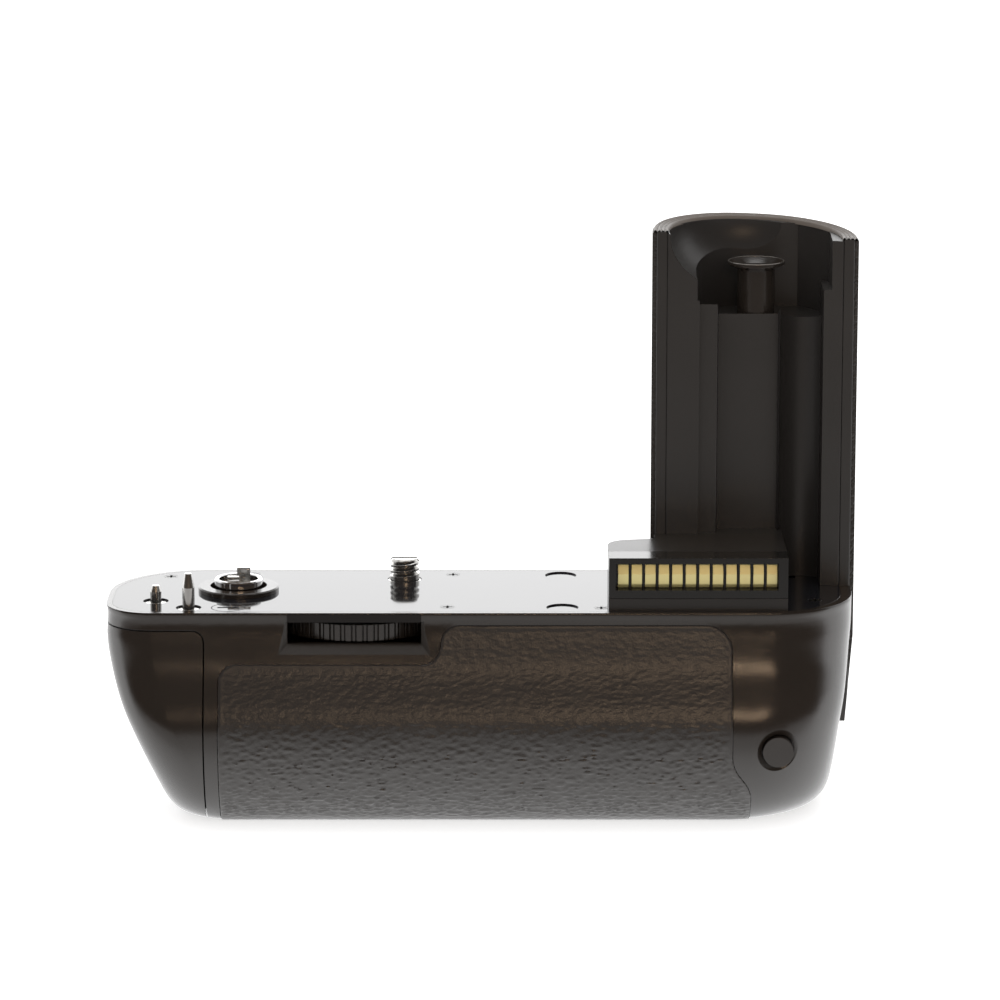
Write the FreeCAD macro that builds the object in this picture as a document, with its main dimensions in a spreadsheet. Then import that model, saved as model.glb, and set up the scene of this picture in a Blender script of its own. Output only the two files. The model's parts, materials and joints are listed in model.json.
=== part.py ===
import FreeCAD, Part
import math
import os
import re
import Sketcher
from FreeCAD import Placement, Rotation, Vector

# A camera battery grip: a wide base that holds a drawer of eight cells, and an upright hand grip.
# Frame: the origin is on the mating face at the axis of the attachment screw.
# +X runs to the right end seen from behind, +Y to the front, +Z up to the camera.
# All lengths are in millimetres.

os.makedirs("parts", exist_ok=True)
doc = FreeCAD.newDocument("camera_battery_grip")

# Driving dimensions
SIZES = {
    # the cells and their drawer
    "cell_radius": 7.25,
    "cell_length": 50.5,
    "cell_pitch": 15.1,
    "nub_radius": 2.75,
    "nub_height": 1.3,
    "strip_thickness": 0.5,
    "end_plate": 2.0,
    "frame_margin": 1.3,
    "drawer_gap": 0.3,
    "drawer_y": -11.5,
    "drawer_left": -41.8,
    "channel_play": 0.2,
    # the walls of the base
    "plate_thickness": 2.0,
    "plate_corner_step": 7.0,
    "tray_floor": 1.3,
    "bottom_wall": 2.0,
    "rear_margin": 3.2,
    "front_margin": 3.8,
    "left_overhang": 20.9,
    "partition": 2.0,
    "bay_length": 25.9,
    "shell_wall": 2.6,
    "rim_width": 1.2,
    "corner_rear_left": 10.0,
    "corner_front_left": 20.5,
    "corner_rear_right": 19.5,
    "corner_front_right": 20.0,
    "cap_band": 3.85,
    "cap_corner": 2.6,
    "seam_gap": 0.3,
    # the upright grip
    "arm_width": 41.9,
    "arm_rear": -6.3,
    "arm_front": 15.2,
    "arm_height": 76.8,
    "arm_wall": 2.2,
    "arm_skirt": 30.0,
    "arm_corner": 20.0,
    "skirt_taper": 1.6,
    "skirt_taper_height": 19.0,
    "crown_fall": 2.4,
    "crown_rise": 3.0,
    "skin": 0.9,
    "stud_inset": 21.6,
    "stud_y": 3.9,
    "stud_drop": 7.9,
    "stud_length": 14.9,
    "stud_neck_radius": 4.0,
    "stud_cup_radius": 6.1,
    "stud_cup_height": 0.6,
    "stud_cup_flare": 1.1,
    "flare_inset": 19.7,
    "flare_long": 17.0,
    "flare_deep": 16.2,
    "flare_tall": 12.5,
    "chamber_inset": 8.7,
    "chamber_drop": 14.8,
    "chamber_depth": 16.8,
    "chamber_corner": 9.5,
    "pocket_drop": 12.5,
    "pocket_wall": 2.5,
    # the thumbwheel and the camera screw
    "wheel_x": -9.6,
    "wheel_radius": 18.0,
    "wheel_setback": 1.8,
    "wheel_height": 3.5,
    "wheel_drop": 3.05,
    "wheel_hub_radius": 4.0,
    "axle_radius": 1.95,
    "running_play": 0.05,
    "gear_pocket": 1.0,
    "window_left": 14.5,
    "window_right": 13.6,
    "window_chamfer": 1.2,
    "window_play": 0.35,
    "shaft_under_wheel": 1.6,
    "worm_room": 1.45,
    "gear_play": 0.6,
    "screw_radius": 3.175,
    "screw_pitch": 1.27,
    "screw_reach": 4.75,
    "screw_collar": 3.58,
    "screw_play": 0.07,
    # the drive coupling
    "coupling_x": -35.3,
    "coupling_y": -10.4,
    "flange_radius": 8.6,
    "flange_height": 1.1,
    "flange_bore": 6.05,
    "sleeve_wall": 0.85,
    "collar_radius": 5.13,
    "collar_bore": 4.2,
    "collar_height": 2.7,
    "collar_depth": 4.0,
    "flange_depth": 2.6,
    "fork_radius": 3.9,
    "fork_reach": 4.6,
    "fork_short": 3.6,
    "shaft_radius": 1.55,
    "coupling_gear_radius": 3.6,
    "coupling_gear_width": 1.9,
    "worm_radius": 1.25,
    "drive_shaft_radius": 0.8,
    "mesh_gap": 0.3,
    "motor_radius": 5.8,
    "motor_length": 20.0,
    "bearing_thickness": 2.0,
    # the pins and small holes in the plate
    "short_pin_x": -52.3,
    "short_pin_y": -20.3,
    "short_pin_radius": 1.2,
    "short_pin_reach": 3.4,
    "tall_pin_x": -45.0,
    "tall_pin_y": -26.3,
    "tall_pin_radius": 1.28,
    "tall_pin_reach": 7.4,
    "pin_recess": 2.68,
    "pin_boss_radius": 2.5,
    "pin_boss_drop": 0.35,
    "rivet_radius": 0.9,
    "bracket_thickness": 1.0,
    "plug_x": -36.7,
    "plug_y": -26.3,
    "plug_radius": 3.4,
    "plug_depth": 1.4,
    "dimple_x": 33.7,
    "dimple_radius": 3.4,
    "dimple_depth": 0.3,
    "fastener_head": 1.5,
    "fastener_shank": 0.8,
    "fastener_length": 3.4,
    "fastener_sink": 0.9,
    "post_radius": 2.2,
    "board_thickness": 1.6,
    "board_drop": 5.0,
    # the connector
    "block_lead": 10.3,
    "block_cheek": 2.2,
    "block_face": -29.2,
    "block_seam": -22.7,
    "block_height": 11.3,
    "block_base": 2.6,
    "pad_pitch": 2.84,
    "pad_width": 2.2,
    "pad_inset": 1.95,
    "rib_width": 0.36,
    "pad_count": 12,
    # the rubber pad
    "pad_proud": 0.2,
    "pad_sunk": 0.5,
    "pad_from_seam": 2.8,
    "pad_past_bay": 2.3,
    "pad_heel_past_bay": 6.4,
    "pad_heel_rise": 9.6,
    "pad_top": 2.8,
    "pad_step": 10.9,
    "pad_step_x": 8.0,
    "pad_front_margin": 4.7,
    # the controls
    "rear_button_inset": 11.8,
    "rear_button_rise": 17.5,
    "button_height": 4.8,
    "button_ledge": 0.8,
    "rear_button_radius": 3.2,
    "button_bulge": 6.0,
    "button_gap": 0.25,
    "dish_radius": 5.1,
    "dish_depth": 1.5,
    "release_rise": 9.6,
    "release_seat_depth": 14.0,
    "release_radius": 4.1,
    "bezel_radius": 5.2,
    "dial_inset": 7.0,
    "dial_rise": 10.1,
    "dial_radius": 5.8,
    "dial_height": 3.6,
    "dial_proud": 0.7,
    "dial_axle": 1.2,
    "switch_inset": 11.3,
    "switch_rise": 9.1,
    "switch_shank": 1.5,
    "switch_keeper": 2.6,
    "switch_radius": 4.2,
    # the drawer lock
    "lock_drop": 11.1,
    "lock_radius": 8.0,
    "lock_shaft": 2.5,
    "lock_floor_depth": 9.7,
    "lock_bar_height": 3.3,
    "lip_reach": 5.7,
    "lip_thickness": 1.2,
    "lip_depth": 2.7,
    "lip_half": 2.2,
    # the tripod socket
    "tripod_radius": 4.0,
    "tripod_bore": 2.55,
    "tripod_depth": 4.35,
}

# Sizes that follow from the driving ones
DERIVED = {
    "drawer_half": "=cell_pitch / 2 + cell_radius + frame_margin + channel_play",
    "drawer_rear": "=drawer_y - drawer_half",
    "drawer_front": "=drawer_y + drawer_half",
    "wheel_bottom": "=-(wheel_drop + wheel_height)",
    "drive_axis_drop": "=wheel_drop + wheel_height + shaft_under_wheel",
    "tray_bottom": "=-(drive_axis_drop + worm_room)",
    "tunnel_top": "=tray_bottom - tray_floor",
    "drawer_top": "=tunnel_top - drawer_gap",
    "drawer_bottom": "=drawer_top - 2 * drawer_half",
    "tunnel_bottom": "=drawer_bottom - drawer_gap",
    "base_bottom": "=tunnel_bottom - bottom_wall",
    "base_height": "=-base_bottom",
    "drawer_z": "=drawer_top - drawer_half",
    "cells_left": "=drawer_left + end_plate + strip_thickness",
    "cells_middle": "=cells_left + cell_length",
    "cells_second": "=cells_middle + strip_thickness",
    "cells_right": "=cells_second + cell_length",
    "drawer_right": "=cells_right + strip_thickness + end_plate",
    "tunnel_right": "=drawer_right + 0.4",
    "bay_left": "=tunnel_right + partition",
    "bay_right": "=bay_left + bay_length",
    "body_right": "=bay_right + shell_wall",
    "arm_left": "=body_right - arm_width",
    "seam_x": "=drawer_left + seam_gap",
    "tray_left": "=seam_x + 2.2",
    "body_left": "=drawer_left - left_overhang",
    "rear_edge": "=drawer_rear - drawer_gap - rear_margin",
    "front_edge": "=drawer_front + drawer_gap + front_margin",
    "wheel_y": "=rear_edge + wheel_setback + wheel_radius",
    "centre_distance": "=sqrt(wheel_x * wheel_x + wheel_y * wheel_y)",
    "tray_front": "=wheel_y + wheel_radius + 0.4",
    "drive_y": "=coupling_y + coupling_gear_radius + mesh_gap + worm_radius",
    "motor_left": "=bay_left + 2.4",
    "motor_right": "=motor_left + motor_length",
    "block_left": "=arm_left - block_lead",
    "pad_first": "=block_left + pad_inset",
    "pads_end": "=pad_first + (pad_count - 1) * pad_pitch + pad_width",
    "block_right": "=pads_end + block_cheek",
    "pad_left": "=seam_x + pad_from_seam",
    "pad_right": "=bay_left + pad_past_bay",
    "pad_heel": "=bay_left + pad_heel_past_bay",
    "stud_x": "=arm_left + stud_inset",
    "stud_top": "=arm_height - stud_drop",
    "stud_foot": "=stud_top - stud_length",
    "chamber_left": "=arm_left + chamber_inset",
    "pocket_left": "=stud_x",
    "rear_button_x": "=bay_left + rear_button_inset",
    "rear_button_z": "=base_bottom + rear_button_rise",
    "release_z": "=base_bottom + release_rise",
    "dial_x": "=bay_left + dial_inset",
    "dial_y": "=arm_front - 0.6 + dial_proud - dial_radius",
    "dial_z": "=base_bottom + dial_rise",
    "switch_x": "=arm_left + switch_inset",
    "switch_z": "=base_bottom + switch_rise",
    "lock_z": "=tunnel_top - lock_drop",
    "lock_floor": "=body_left + lock_floor_depth",
    "lock_face": "=lock_floor - lock_bar_height",
    "lip_left": "=seam_x - lip_reach",
    "lobe_reach": "=lock_drop - 0.9",
    "button_face": "=rear_edge - button_bulge",
    "gear_module": "=2 * centre_distance / 50",
    "wheel_gear_pocket": "=gear_module * 15.75 + gear_play",
    "screw_gear_pocket": "=gear_module * 10.75 + gear_play",
    "button_back": "=button_face + button_height",
    "button_stop": "=button_back - button_ledge",
    "board_left": "=wheel_x + wheel_radius + 5.6",
    "board_right": "=tunnel_right - 3.6",
    "tripod_top": "=base_bottom + tripod_depth",
    "core_left": "=arm_left + arm_wall",
    "core_right": "=body_right - arm_wall",
    "core_front": "=arm_front - arm_wall",
    "core_step": "=core_left + 7.0",
    "core_trough": "=core_left + 10.9",
    "core_ridge": "=core_right - 13.5",
    "core_rib": "=core_right - 4.2",
}

sheet = doc.addObject("Spreadsheet::Sheet", "Sizes")
for row, (name, size) in enumerate(list(SIZES.items()) + list(DERIVED.items()), start=1):
    sheet.set("A%d" % row, name)
    sheet.set("B%d" % row, str(size))
    sheet.setAlias("B%d" % row, name)
doc.recompute()

# Helpers: a place is written as a sum of names, which both the sheet and the script understand


def number(text):
    """Work out a sum of named sizes and plain numbers."""
    total = 0.0
    for sign, term in re.findall(r"([+-]?)\s*([a-z_]+|[0-9.]+)", str(text)):
        size = float(sheet.get(term)) if term[0].isalpha() else float(term)
        total += -size if sign == "-" else size
    return total


def bound(text):
    """Write the same sum as an expression on the sheet."""
    return re.sub(r"[a-z_]*[a-z][a-z_]*", lambda found: "Sizes." + found.group(0), str(text))


def bind(thing, prop, text):
    thing.setExpression(prop, bound(text))


def place(thing, x, y, z, rotation=None):
    if rotation is not None:
        thing.Placement.Rotation = rotation
    bind(thing, "Placement.Base.x", x)
    bind(thing, "Placement.Base.y", y)
    bind(thing, "Placement.Base.z", z)


def slab(name, left, right, rear, front, bottom, top):
    """A plain block between six named planes."""
    block = doc.addObject("Part::Box", name)
    bind(block, "Length", "%s - (%s)" % (right, left))
    bind(block, "Width", "%s - (%s)" % (front, rear))
    bind(block, "Height", "%s - (%s)" % (top, bottom))
    place(block, left, rear, bottom)
    return block


ALONG_X = Rotation(Vector(0, 0, 1), Vector(1, 0, 0))
ALONG_Y = Rotation(Vector(0, 0, 1), Vector(0, 1, 0))


def rod(name, x, y, bottom, top, radius):
    """An upright cylinder."""
    piece = doc.addObject("Part::Cylinder", name)
    bind(piece, "Radius", radius)
    bind(piece, "Height", "%s - (%s)" % (top, bottom))
    place(piece, x, y, bottom)
    return piece


def rod_x(name, left, right, y, z, radius):
    """A cylinder along X."""
    piece = doc.addObject("Part::Cylinder", name)
    bind(piece, "Radius", radius)
    bind(piece, "Height", "%s - (%s)" % (right, left))
    place(piece, left, y, z, ALONG_X)
    return piece


def rod_y(name, x, rear, front, z, radius):
    """A cylinder along Y."""
    piece = doc.addObject("Part::Cylinder", name)
    bind(piece, "Radius", radius)
    bind(piece, "Height", "%s - (%s)" % (front, rear))
    place(piece, x, rear, z, ALONG_Y)
    return piece


def cone(name, x, y, bottom, top, low_radius, high_radius):
    piece = doc.addObject("Part::Cone", name)
    bind(piece, "Radius1", low_radius)
    bind(piece, "Radius2", high_radius)
    bind(piece, "Height", "%s - (%s)" % (top, bottom))
    place(piece, x, y, bottom)
    return piece


def fuse(name, *pieces):
    joined = doc.addObject("Part::MultiFuse", name)
    joined.Shapes = list(pieces)
    return joined


def cut(name, base, *tools):
    rest = doc.addObject("Part::Cut", name)
    rest.Base = base
    rest.Tool = tools[0] if len(tools) == 1 else fuse(name + "_tools", *tools)
    return rest


def cut_in_turn(name, base, *tools):
    """One cut after another, which holds where many tools cross each other."""
    rest = base
    for index, tool in enumerate(tools):
        rest = cut("%s_step_%d" % (name, index), rest, tool)
    return rest


def common(name, *pieces):
    shared = doc.addObject("Part::MultiCommon", name)
    shared.Shapes = list(pieces)
    return shared


def feature(name, shape):
    piece = doc.addObject("Part::Feature", name)
    piece.Shape = shape
    return piece


def group(name, *pieces):
    """Separate solids that share one node."""
    together = doc.addObject("Part::Compound", name)
    together.Links = list(pieces)
    return together


def rounded_plate(name, left, right, rear, front, radius, bottom, top):
    """A plate with rounded corners: a constrained sketch and a pad."""
    body = doc.addObject("PartDesign::Body", name)
    sketch = body.newObject("Sketcher::SketchObject", name + "_outline")
    plane = [part for part in body.Origin.OriginFeatures if part.Role == "XY_Plane"][0]
    sketch.AttachmentSupport = [(plane, "")]
    sketch.MapMode = "FlatFace"
    low_x, high_x = number(left), number(right)
    low_y, high_y = number(rear), number(front)
    bend = number(radius)
    corners = [(low_x, low_y), (high_x, low_y), (high_x, high_y), (low_x, high_y)]
    for index, (x, y) in enumerate(corners):
        next_x, next_y = corners[(index + 1) % 4]
        step_x = math.copysign(bend, next_x - x) if next_x != x else 0.0
        step_y = math.copysign(bend, next_y - y) if next_y != y else 0.0
        start = Vector(x + step_x, y + step_y, 0)
        end = Vector(next_x - step_x, next_y - step_y, 0)
        sketch.addGeometry(Part.LineSegment(start, end), False)
    for index, (x, y) in enumerate(corners):
        centre_x = x + (bend if x == low_x else -bend)
        centre_y = y + (bend if y == low_y else -bend)
        circle = Part.Circle(Vector(centre_x, centre_y, 0), Vector(0, 0, 1), bend)
        turn = math.pi + index * math.pi / 2
        sketch.addGeometry(Part.ArcOfCircle(circle, turn, turn + math.pi / 2), False)
    for index in range(4):
        before = (index + 3) % 4
        sketch.addConstraint(Sketcher.Constraint("Tangent", before, 2, 4 + index, 1))
        sketch.addConstraint(Sketcher.Constraint("Tangent", 4 + index, 2, index, 1))
    for index in (0, 2):
        sketch.addConstraint(Sketcher.Constraint("Horizontal", index))
        sketch.addConstraint(Sketcher.Constraint("Vertical", index + 1))
    for index in (5, 6, 7):
        sketch.addConstraint(Sketcher.Constraint("Equal", 4, index))
    driven = [("bend", radius, Sketcher.Constraint("Radius", 4, bend)),
              ("left", left, Sketcher.Constraint("DistanceX", -1, 1, 3, 1, low_x)),
              ("right", right, Sketcher.Constraint("DistanceX", -1, 1, 1, 1, high_x)),
              ("rear", rear, Sketcher.Constraint("DistanceY", -1, 1, 0, 1, low_y)),
              ("front", front, Sketcher.Constraint("DistanceY", -1, 1, 2, 1, high_y))]
    for title, text, constraint in driven:
        index = sketch.addConstraint(constraint)
        sketch.renameConstraint(index, title)
        sketch.setExpression("Constraints." + title, bound(text))
    pad = body.newObject("PartDesign::Pad", name + "_pad")
    pad.Profile = sketch
    bind(pad, "Length", "%s - (%s)" % (top, bottom))
    sketch.Visibility = False
    place(body, "0", "0", bottom)
    return body


def rounded_wire(points, radii, height):
    """A closed outline of lines, with an arc of its own radius at each corner."""
    starts, middles, ends = [], [], []
    count = len(points)
    for index in range(count):
        corner = Vector(points[index][0], points[index][1], height)
        before = Vector(points[index - 1][0], points[index - 1][1], height)
        after = Vector(points[(index + 1) % count][0], points[(index + 1) % count][1], height)
        back = (before - corner).normalize()
        ahead = (after - corner).normalize()
        half = math.acos(max(-1.0, min(1.0, back.dot(ahead)))) / 2
        reach = radii[index] / math.tan(half)
        inward = (back + ahead).normalize()
        starts.append(corner + back * reach)
        ends.append(corner + ahead * reach)
        middles.append(corner + inward * (radii[index] / math.sin(half) - radii[index]))
    edges = []
    for index in range(count):
        edges.append(Part.Arc(starts[index], middles[index], ends[index]).toShape())
        edges.append(Part.LineSegment(ends[index], starts[(index + 1) % count]).toShape())
    return Part.Wire(edges)


def prism(points, radii, bottom, top):
    """An upright prism with rounded corners."""
    face = Part.Face(rounded_wire(points, radii, bottom))
    return face.extrude(Vector(0, 0, top - bottom))


def turned(points):
    """A solid turned about Z from its half section of radius and height."""
    corners = [Vector(radius, 0, height) for radius, height in points]
    face = Part.Face(Part.makePolygon(corners + [corners[0]]))
    return face.revolve(Vector(0, 0, 0), Vector(0, 0, 1), 360)


def ring_of(count, outline, height):
    """A toothed disc: the outline gives radius and share of one pitch, for one tooth."""
    points = []
    for tooth in range(count):
        for radius, share in outline:
            angle = 2 * math.pi * (tooth + share) / count
            points.append(Vector(radius * math.cos(angle), radius * math.sin(angle), 0))
    face = Part.Face(Part.makePolygon(points + [points[0]]))
    return face.extrude(Vector(0, 0, height))


NODES = []


def node(thing, label):
    """Name a finished sub-part, which gives its file its name."""
    thing.Label = label
    NODES.append(thing)
    return thing


# The form of the base: shares of its height, and how far each side lies from the top outline
# share of height, left end in, right end in, back out, front out, front of the hand grip out
STATIONS = [
    (0.000, 0.0, 0.0, 0.0, 0.0, 0.0),
    (0.120, 0.1, 0.1, 0.0, 0.0, 0.0),
    (0.240, 0.7, 0.6, 1.3, 0.7, 0.0),
    (0.370, 2.2, 1.2, 3.7, 1.3, 0.0),
    (0.480, 4.0, 1.9, 5.6, 1.6, 0.0),
    (0.570, 5.8, 2.6, 6.1, 1.6, 0.0),
    (0.700, 8.4, 3.4, 5.3, 1.3, -0.3),
    (0.820, 10.7, 4.1, 3.2, 0.5, -1.2),
    (0.920, 12.6, 5.1, 0.0, -1.0, -3.2),
    (0.975, 14.3, 6.6, -2.7, -3.0, -5.2),
    (1.000, 16.2, 8.2, -4.7, -5.5, -7.5),
]
GRIP_SLOPE = 8.2


FORMS = {}


def form(size="0"):
    """The outer form of the base, larger or smaller all round by one distance, made once for each."""
    if size not in FORMS:
        FORMS[size] = feature("form_%d" % len(FORMS), form_loft(number(size)))
    return FORMS[size]


def form_loft(grow):
    """The form as a loft through its stations."""
    left, right = number("body_left"), number("body_right")
    rear, front = number("rear_edge"), number("front_edge")
    grip_left, grip_front = number("arm_left"), number("arm_front")
    wires = []
    for share, tuck_left, tuck_right, out_rear, out_front, out_grip in STATIONS:
        low_x, high_x = left + tuck_left - grow, right - tuck_right + grow
        low_y, high_y = rear - out_rear - grow, front + out_front + grow
        grip_y = grip_front + out_grip + grow
        points = [(low_x, low_y), (high_x, low_y), (high_x, grip_y),
                  (grip_left + GRIP_SLOPE, grip_y), (grip_left, high_y), (low_x, high_y)]
        radii = [number("corner_rear_left") + grow, number("corner_rear_right") + grow,
                 number("corner_front_right") + out_grip + grow, 5.0, 5.0,
                 number("corner_front_left") + out_front + grow]
        wires.append(rounded_wire(points, radii, -share * (number("base_height") + grow)))
    return Part.makeLoft(wires, True, False)


def arm_outline(grow, open_rear):
    """The outline of the upright grip, larger or smaller by one distance, perhaps open at the back."""
    left, right = number("arm_left") - grow, number("body_right") + grow
    rear, front = number("arm_rear") - open_rear, number("arm_front") + grow
    points = [(left, rear), (right, rear), (right, front), (left, front)]
    radii = [0.4, 0.4, number("corner_front_right") + grow, number("arm_corner") + grow]
    return points, radii


def arm_prism(grow, bottom, top, open_rear=0.0):
    points, radii = arm_outline(grow, open_rear)
    return prism(points, radii, bottom, top)


# Base shell


def base_shell():
    outer = form()
    inner = form("-shell_wall")
    cap_zone = feature("cap_zone", cap_prism(number("seam_x"), number("-cap_band"), number("cap_corner")))
    skirt_front = slab("skirt_front", "arm_left - 3", "body_right + 20", "front_edge",
                       "front_edge + 30", "-arm_skirt", "20")
    skirt_right = slab("skirt_right", "bay_left", "body_right + 20", "arm_rear", "front_edge + 30",
                       "-arm_skirt", "20")
    plate_seat = feature("plate_seat", plate_outline(0.0, -number("plate_thickness"), 10.0))
    tray = rounded_plate("tray_space", "tray_left", "tunnel_right", "rear_edge + shell_wall", "tray_front",
                         "2.0", "tray_bottom", "5")
    passage = slab("tray_passage", "tunnel_right - 3", "bay_left + 3", "-14", "tray_front - 1",
                   "tray_bottom", "5")
    bracket_seat = rounded_plate("bracket_seat", "short_pin_x - 3.2", "tall_pin_x + 3.2", "tall_pin_y - 2.6",
                                 "short_pin_y + 3.4", "1.6", "-plate_thickness - bracket_thickness", "5")
    tunnel = slab("tunnel", "seam_x - 30", "tunnel_right", "drawer_rear - drawer_gap",
                  "drawer_front + drawer_gap", "tunnel_bottom", "tunnel_top")
    bay_zone = slab("bay_zone", "bay_left", "body_right + 5", "rear_edge - 20", "front_edge + 30",
                    "tunnel_bottom + 0.3", "-plate_thickness - 3")
    bay = common("bay", inner, bay_zone)
    bay_mouth = slab("bay_mouth", "bay_left", "core_right - 3.5", "-14", "front_edge - 1", "-arm_skirt", "5")
    front_zone = slab("front_zone", "arm_left + 4.2", "bay_left + 5", "front_edge - 0.5", "front_edge + 30",
                      "tunnel_bottom + 0.3", "-arm_skirt + 1")
    front_bay = common("front_bay", inner, front_zone)
    window = slab("wheel_window", "wheel_x - window_left", "wheel_x + window_right", "rear_edge - 10",
                  "rear_edge + shell_wall + 1", "wheel_bottom - window_play", "-plate_thickness")
    button_bore = rod_y("rear_button_bore", "rear_button_x", "rear_edge - 12", "rear_edge + 4",
                        "rear_button_z", "rear_button_radius + button_gap")
    dish = feature("rear_dish", rear_dish())
    release_bore = feature("release_bore", release_rod(number("bezel_radius"), 3.0, 22.0))
    button_spot = rod_y("rear_button_spot", "rear_button_x", "button_stop - seam_gap", "rear_edge + 9",
                        "rear_button_z", "rear_button_radius + button_ledge + 0.2")
    dial_window = slab("dial_window", "dial_x - dial_radius - 0.3", "dial_x + dial_radius + 0.3",
                       "dial_y - 2", "arm_front + 5",
                       "dial_z - 2.1", "dial_z + 2.1")
    switch_bore = rod_y("switch_bore", "switch_x", "front_edge", "arm_front + 5", "switch_z",
                        "switch_shank + running_play")
    switch_dish = rod_y("switch_dish", "switch_x", "arm_front - 0.9", "arm_front + 5", "switch_z",
                        "switch_radius + 0.3")
    switch_spot = rod_y("switch_spot", "switch_x", "front_edge - 0.5", "arm_front - 3.9", "switch_z",
                        "switch_keeper + seam_gap")
    flange_seat = rod("flange_seat", "coupling_x", "coupling_y", "-flange_depth", "5",
                      "flange_bore + sleeve_wall")
    collar_seat = rod("collar_seat", "coupling_x", "coupling_y", "-collar_depth", "5", "collar_radius")
    socket_bore = rod("socket_bore", "0", "drawer_y", "base_bottom - 5", "tunnel_bottom + 1",
                      "tripod_radius")
    terminal_bores = [rod_x("terminal_bore_%d" % index, "tunnel_right - 2", "bay_left + 1", "drawer_y",
                            "drawer_z + %s" % shift, "1.2") for index, shift in enumerate(("5", "-5"))]
    pad_zone = pad_space()
    shell = cut_in_turn("shell", outer, cap_zone, skirt_front, skirt_right, plate_seat, tray, passage,
                        bracket_seat, tunnel, bay, bay_mouth, front_bay, window,
                        feature("window_bevel", bevel()), button_bore, button_spot, dish, release_bore,
                        dial_window, switch_bore, switch_dish, switch_spot, flange_seat, collar_seat,
                        socket_bore, pad_zone, *terminal_bores)
    # what stands inside: screw posts, board posts and three bosses
    posts = []
    for index, (x, y) in enumerate(FASTENERS[1:5]):
        post = rod("screw_post_%d" % index, x, y, "tray_bottom - 0.2", "-plate_thickness", "post_radius")
        posts.append(cut("screw_post_bored_%d" % index, post,
                         rod("screw_pilot_%d" % index, x, y, "-fastener_length", "0", "fastener_shank")))
    for index, (x, y) in enumerate(BOARD_POSTS):
        posts.append(rod("board_post_%d" % index, x, y, "tray_bottom - 0.2", "-board_drop", "1.5"))
    axle_boss = rod("axle_boss", "wheel_x", "wheel_y", "tray_bottom - 0.2", "tray_bottom + 0.2", "3.2")
    dial_boss = rod("dial_boss", "dial_x", "dial_y", "tunnel_bottom - 0.5", "dial_z - 2.1", "2.6")
    release_post = feature("release_post", release_block("tunnel_bottom - 0.5", "release_z - 4"))
    whole = fuse("shell_with_bosses", shell, axle_boss, dial_boss, release_post, *posts)
    corner_pilots = [rod("corner_pilot_%d" % index, *FASTENERS[index], "-fastener_length", "0",
                         "fastener_shank") for index in (0, 5)]
    seat = keeper_tongue("keeper_seat", "lip_left", "tunnel_top - 1")
    return node(cut("base_shell", whole, seat, *corner_pilots), "base_shell")


def cap_prism(right, top, corner):
    """All that lies left of the seam and under the band, with the seam's rounded upper corner."""
    left, bottom = number("body_left - 20"), number("base_bottom - 20")
    points = [(left, bottom), (right, bottom), (right, top), (left, top)]
    face = Part.Face(rounded_wire(points, [1.0, 1.0, corner, 1.0], 0.0))
    face.rotate(Vector(0, 0, 0), Vector(1, 0, 0), 90)
    face.translate(Vector(0, number("rear_edge - 20"), 0))
    return face.extrude(Vector(0, number("front_edge") - number("rear_edge") + 40, 0))


def keeper_blade(name):
    """An upright plate that hangs from the floor under the mating plate, near the drawer's mouth."""
    return slab(name, "lip_left", "lip_left + lip_thickness", "drawer_y - lip_half", "drawer_y + lip_half",
                "tunnel_top - lip_depth", "tray_bottom")


def keeper_tongue(name, left, low):
    """The flat end of the catch, let into the floor under the mating plate."""
    return slab(name, left, "tray_left - 0.5", "drawer_y - lip_half", "drawer_y + lip_half", low,
                "tray_bottom - 0.3")


def lock_keeper():
    """The steel catch behind which the lock's lobe turns, pressed into a slot of the floor."""
    tongue = keeper_tongue("keeper_tongue", "lip_left + lip_thickness", "tunnel_top")
    return node(group("lock_keeper", keeper_blade("keeper_lip"), tongue), "lock_keeper")


def plate_outline(gap, bottom, top):
    """The mating plate's outline, inside the rim of the base by the rim's width."""
    rim = number("rim_width") + gap
    left, right = number("body_left") + rim, number("core_right") - gap - 0.1
    rear, front = number("rear_edge") + rim, number("front_edge") - rim
    points = [(left, rear), (right, rear), (right, front), (left, front)]
    radii = [number("corner_rear_left") - rim, number("corner_rear_right") - rim - 1.0,
             number("corner_front_right - plate_corner_step"), number("corner_front_left") - rim]
    return prism(points, radii, bottom, top)


def bevel():
    """The bevel round the wheel window: a short ruled loft that widens to the outside."""
    low_x = number("wheel_x - window_left")
    high_x = number("wheel_x + window_right")
    low_z = number("wheel_bottom - window_play")
    top = number("-plate_thickness")
    wide = number("window_chamfer")
    back = number("rear_edge + window_chamfer")
    wires = []
    for y, out in ((back, 0.0), (back - 2 * wide, 2 * wide)):
        corners = [Vector(low_x - out, y, low_z - out), Vector(high_x + out, y, low_z - out),
                   Vector(high_x + out, y, top), Vector(low_x - out, y, top)]
        wires.append(Part.makePolygon(corners + [corners[0]]))
    return Part.makeLoft(wires, True, True)


RIGHT_SIDE, REAR_SIDE = 2, 3


def side_step(z, side):
    """How far one side of the form lies from the top outline at one height, read between its stations."""
    share = -z / number("base_height")
    for low, high in zip(STATIONS, STATIONS[1:]):
        if low[0] <= share <= high[0]:
            blend = (share - low[0]) / (high[0] - low[0])
            return low[side] + blend * (high[side] - low[side])
    return 0.0


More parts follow.
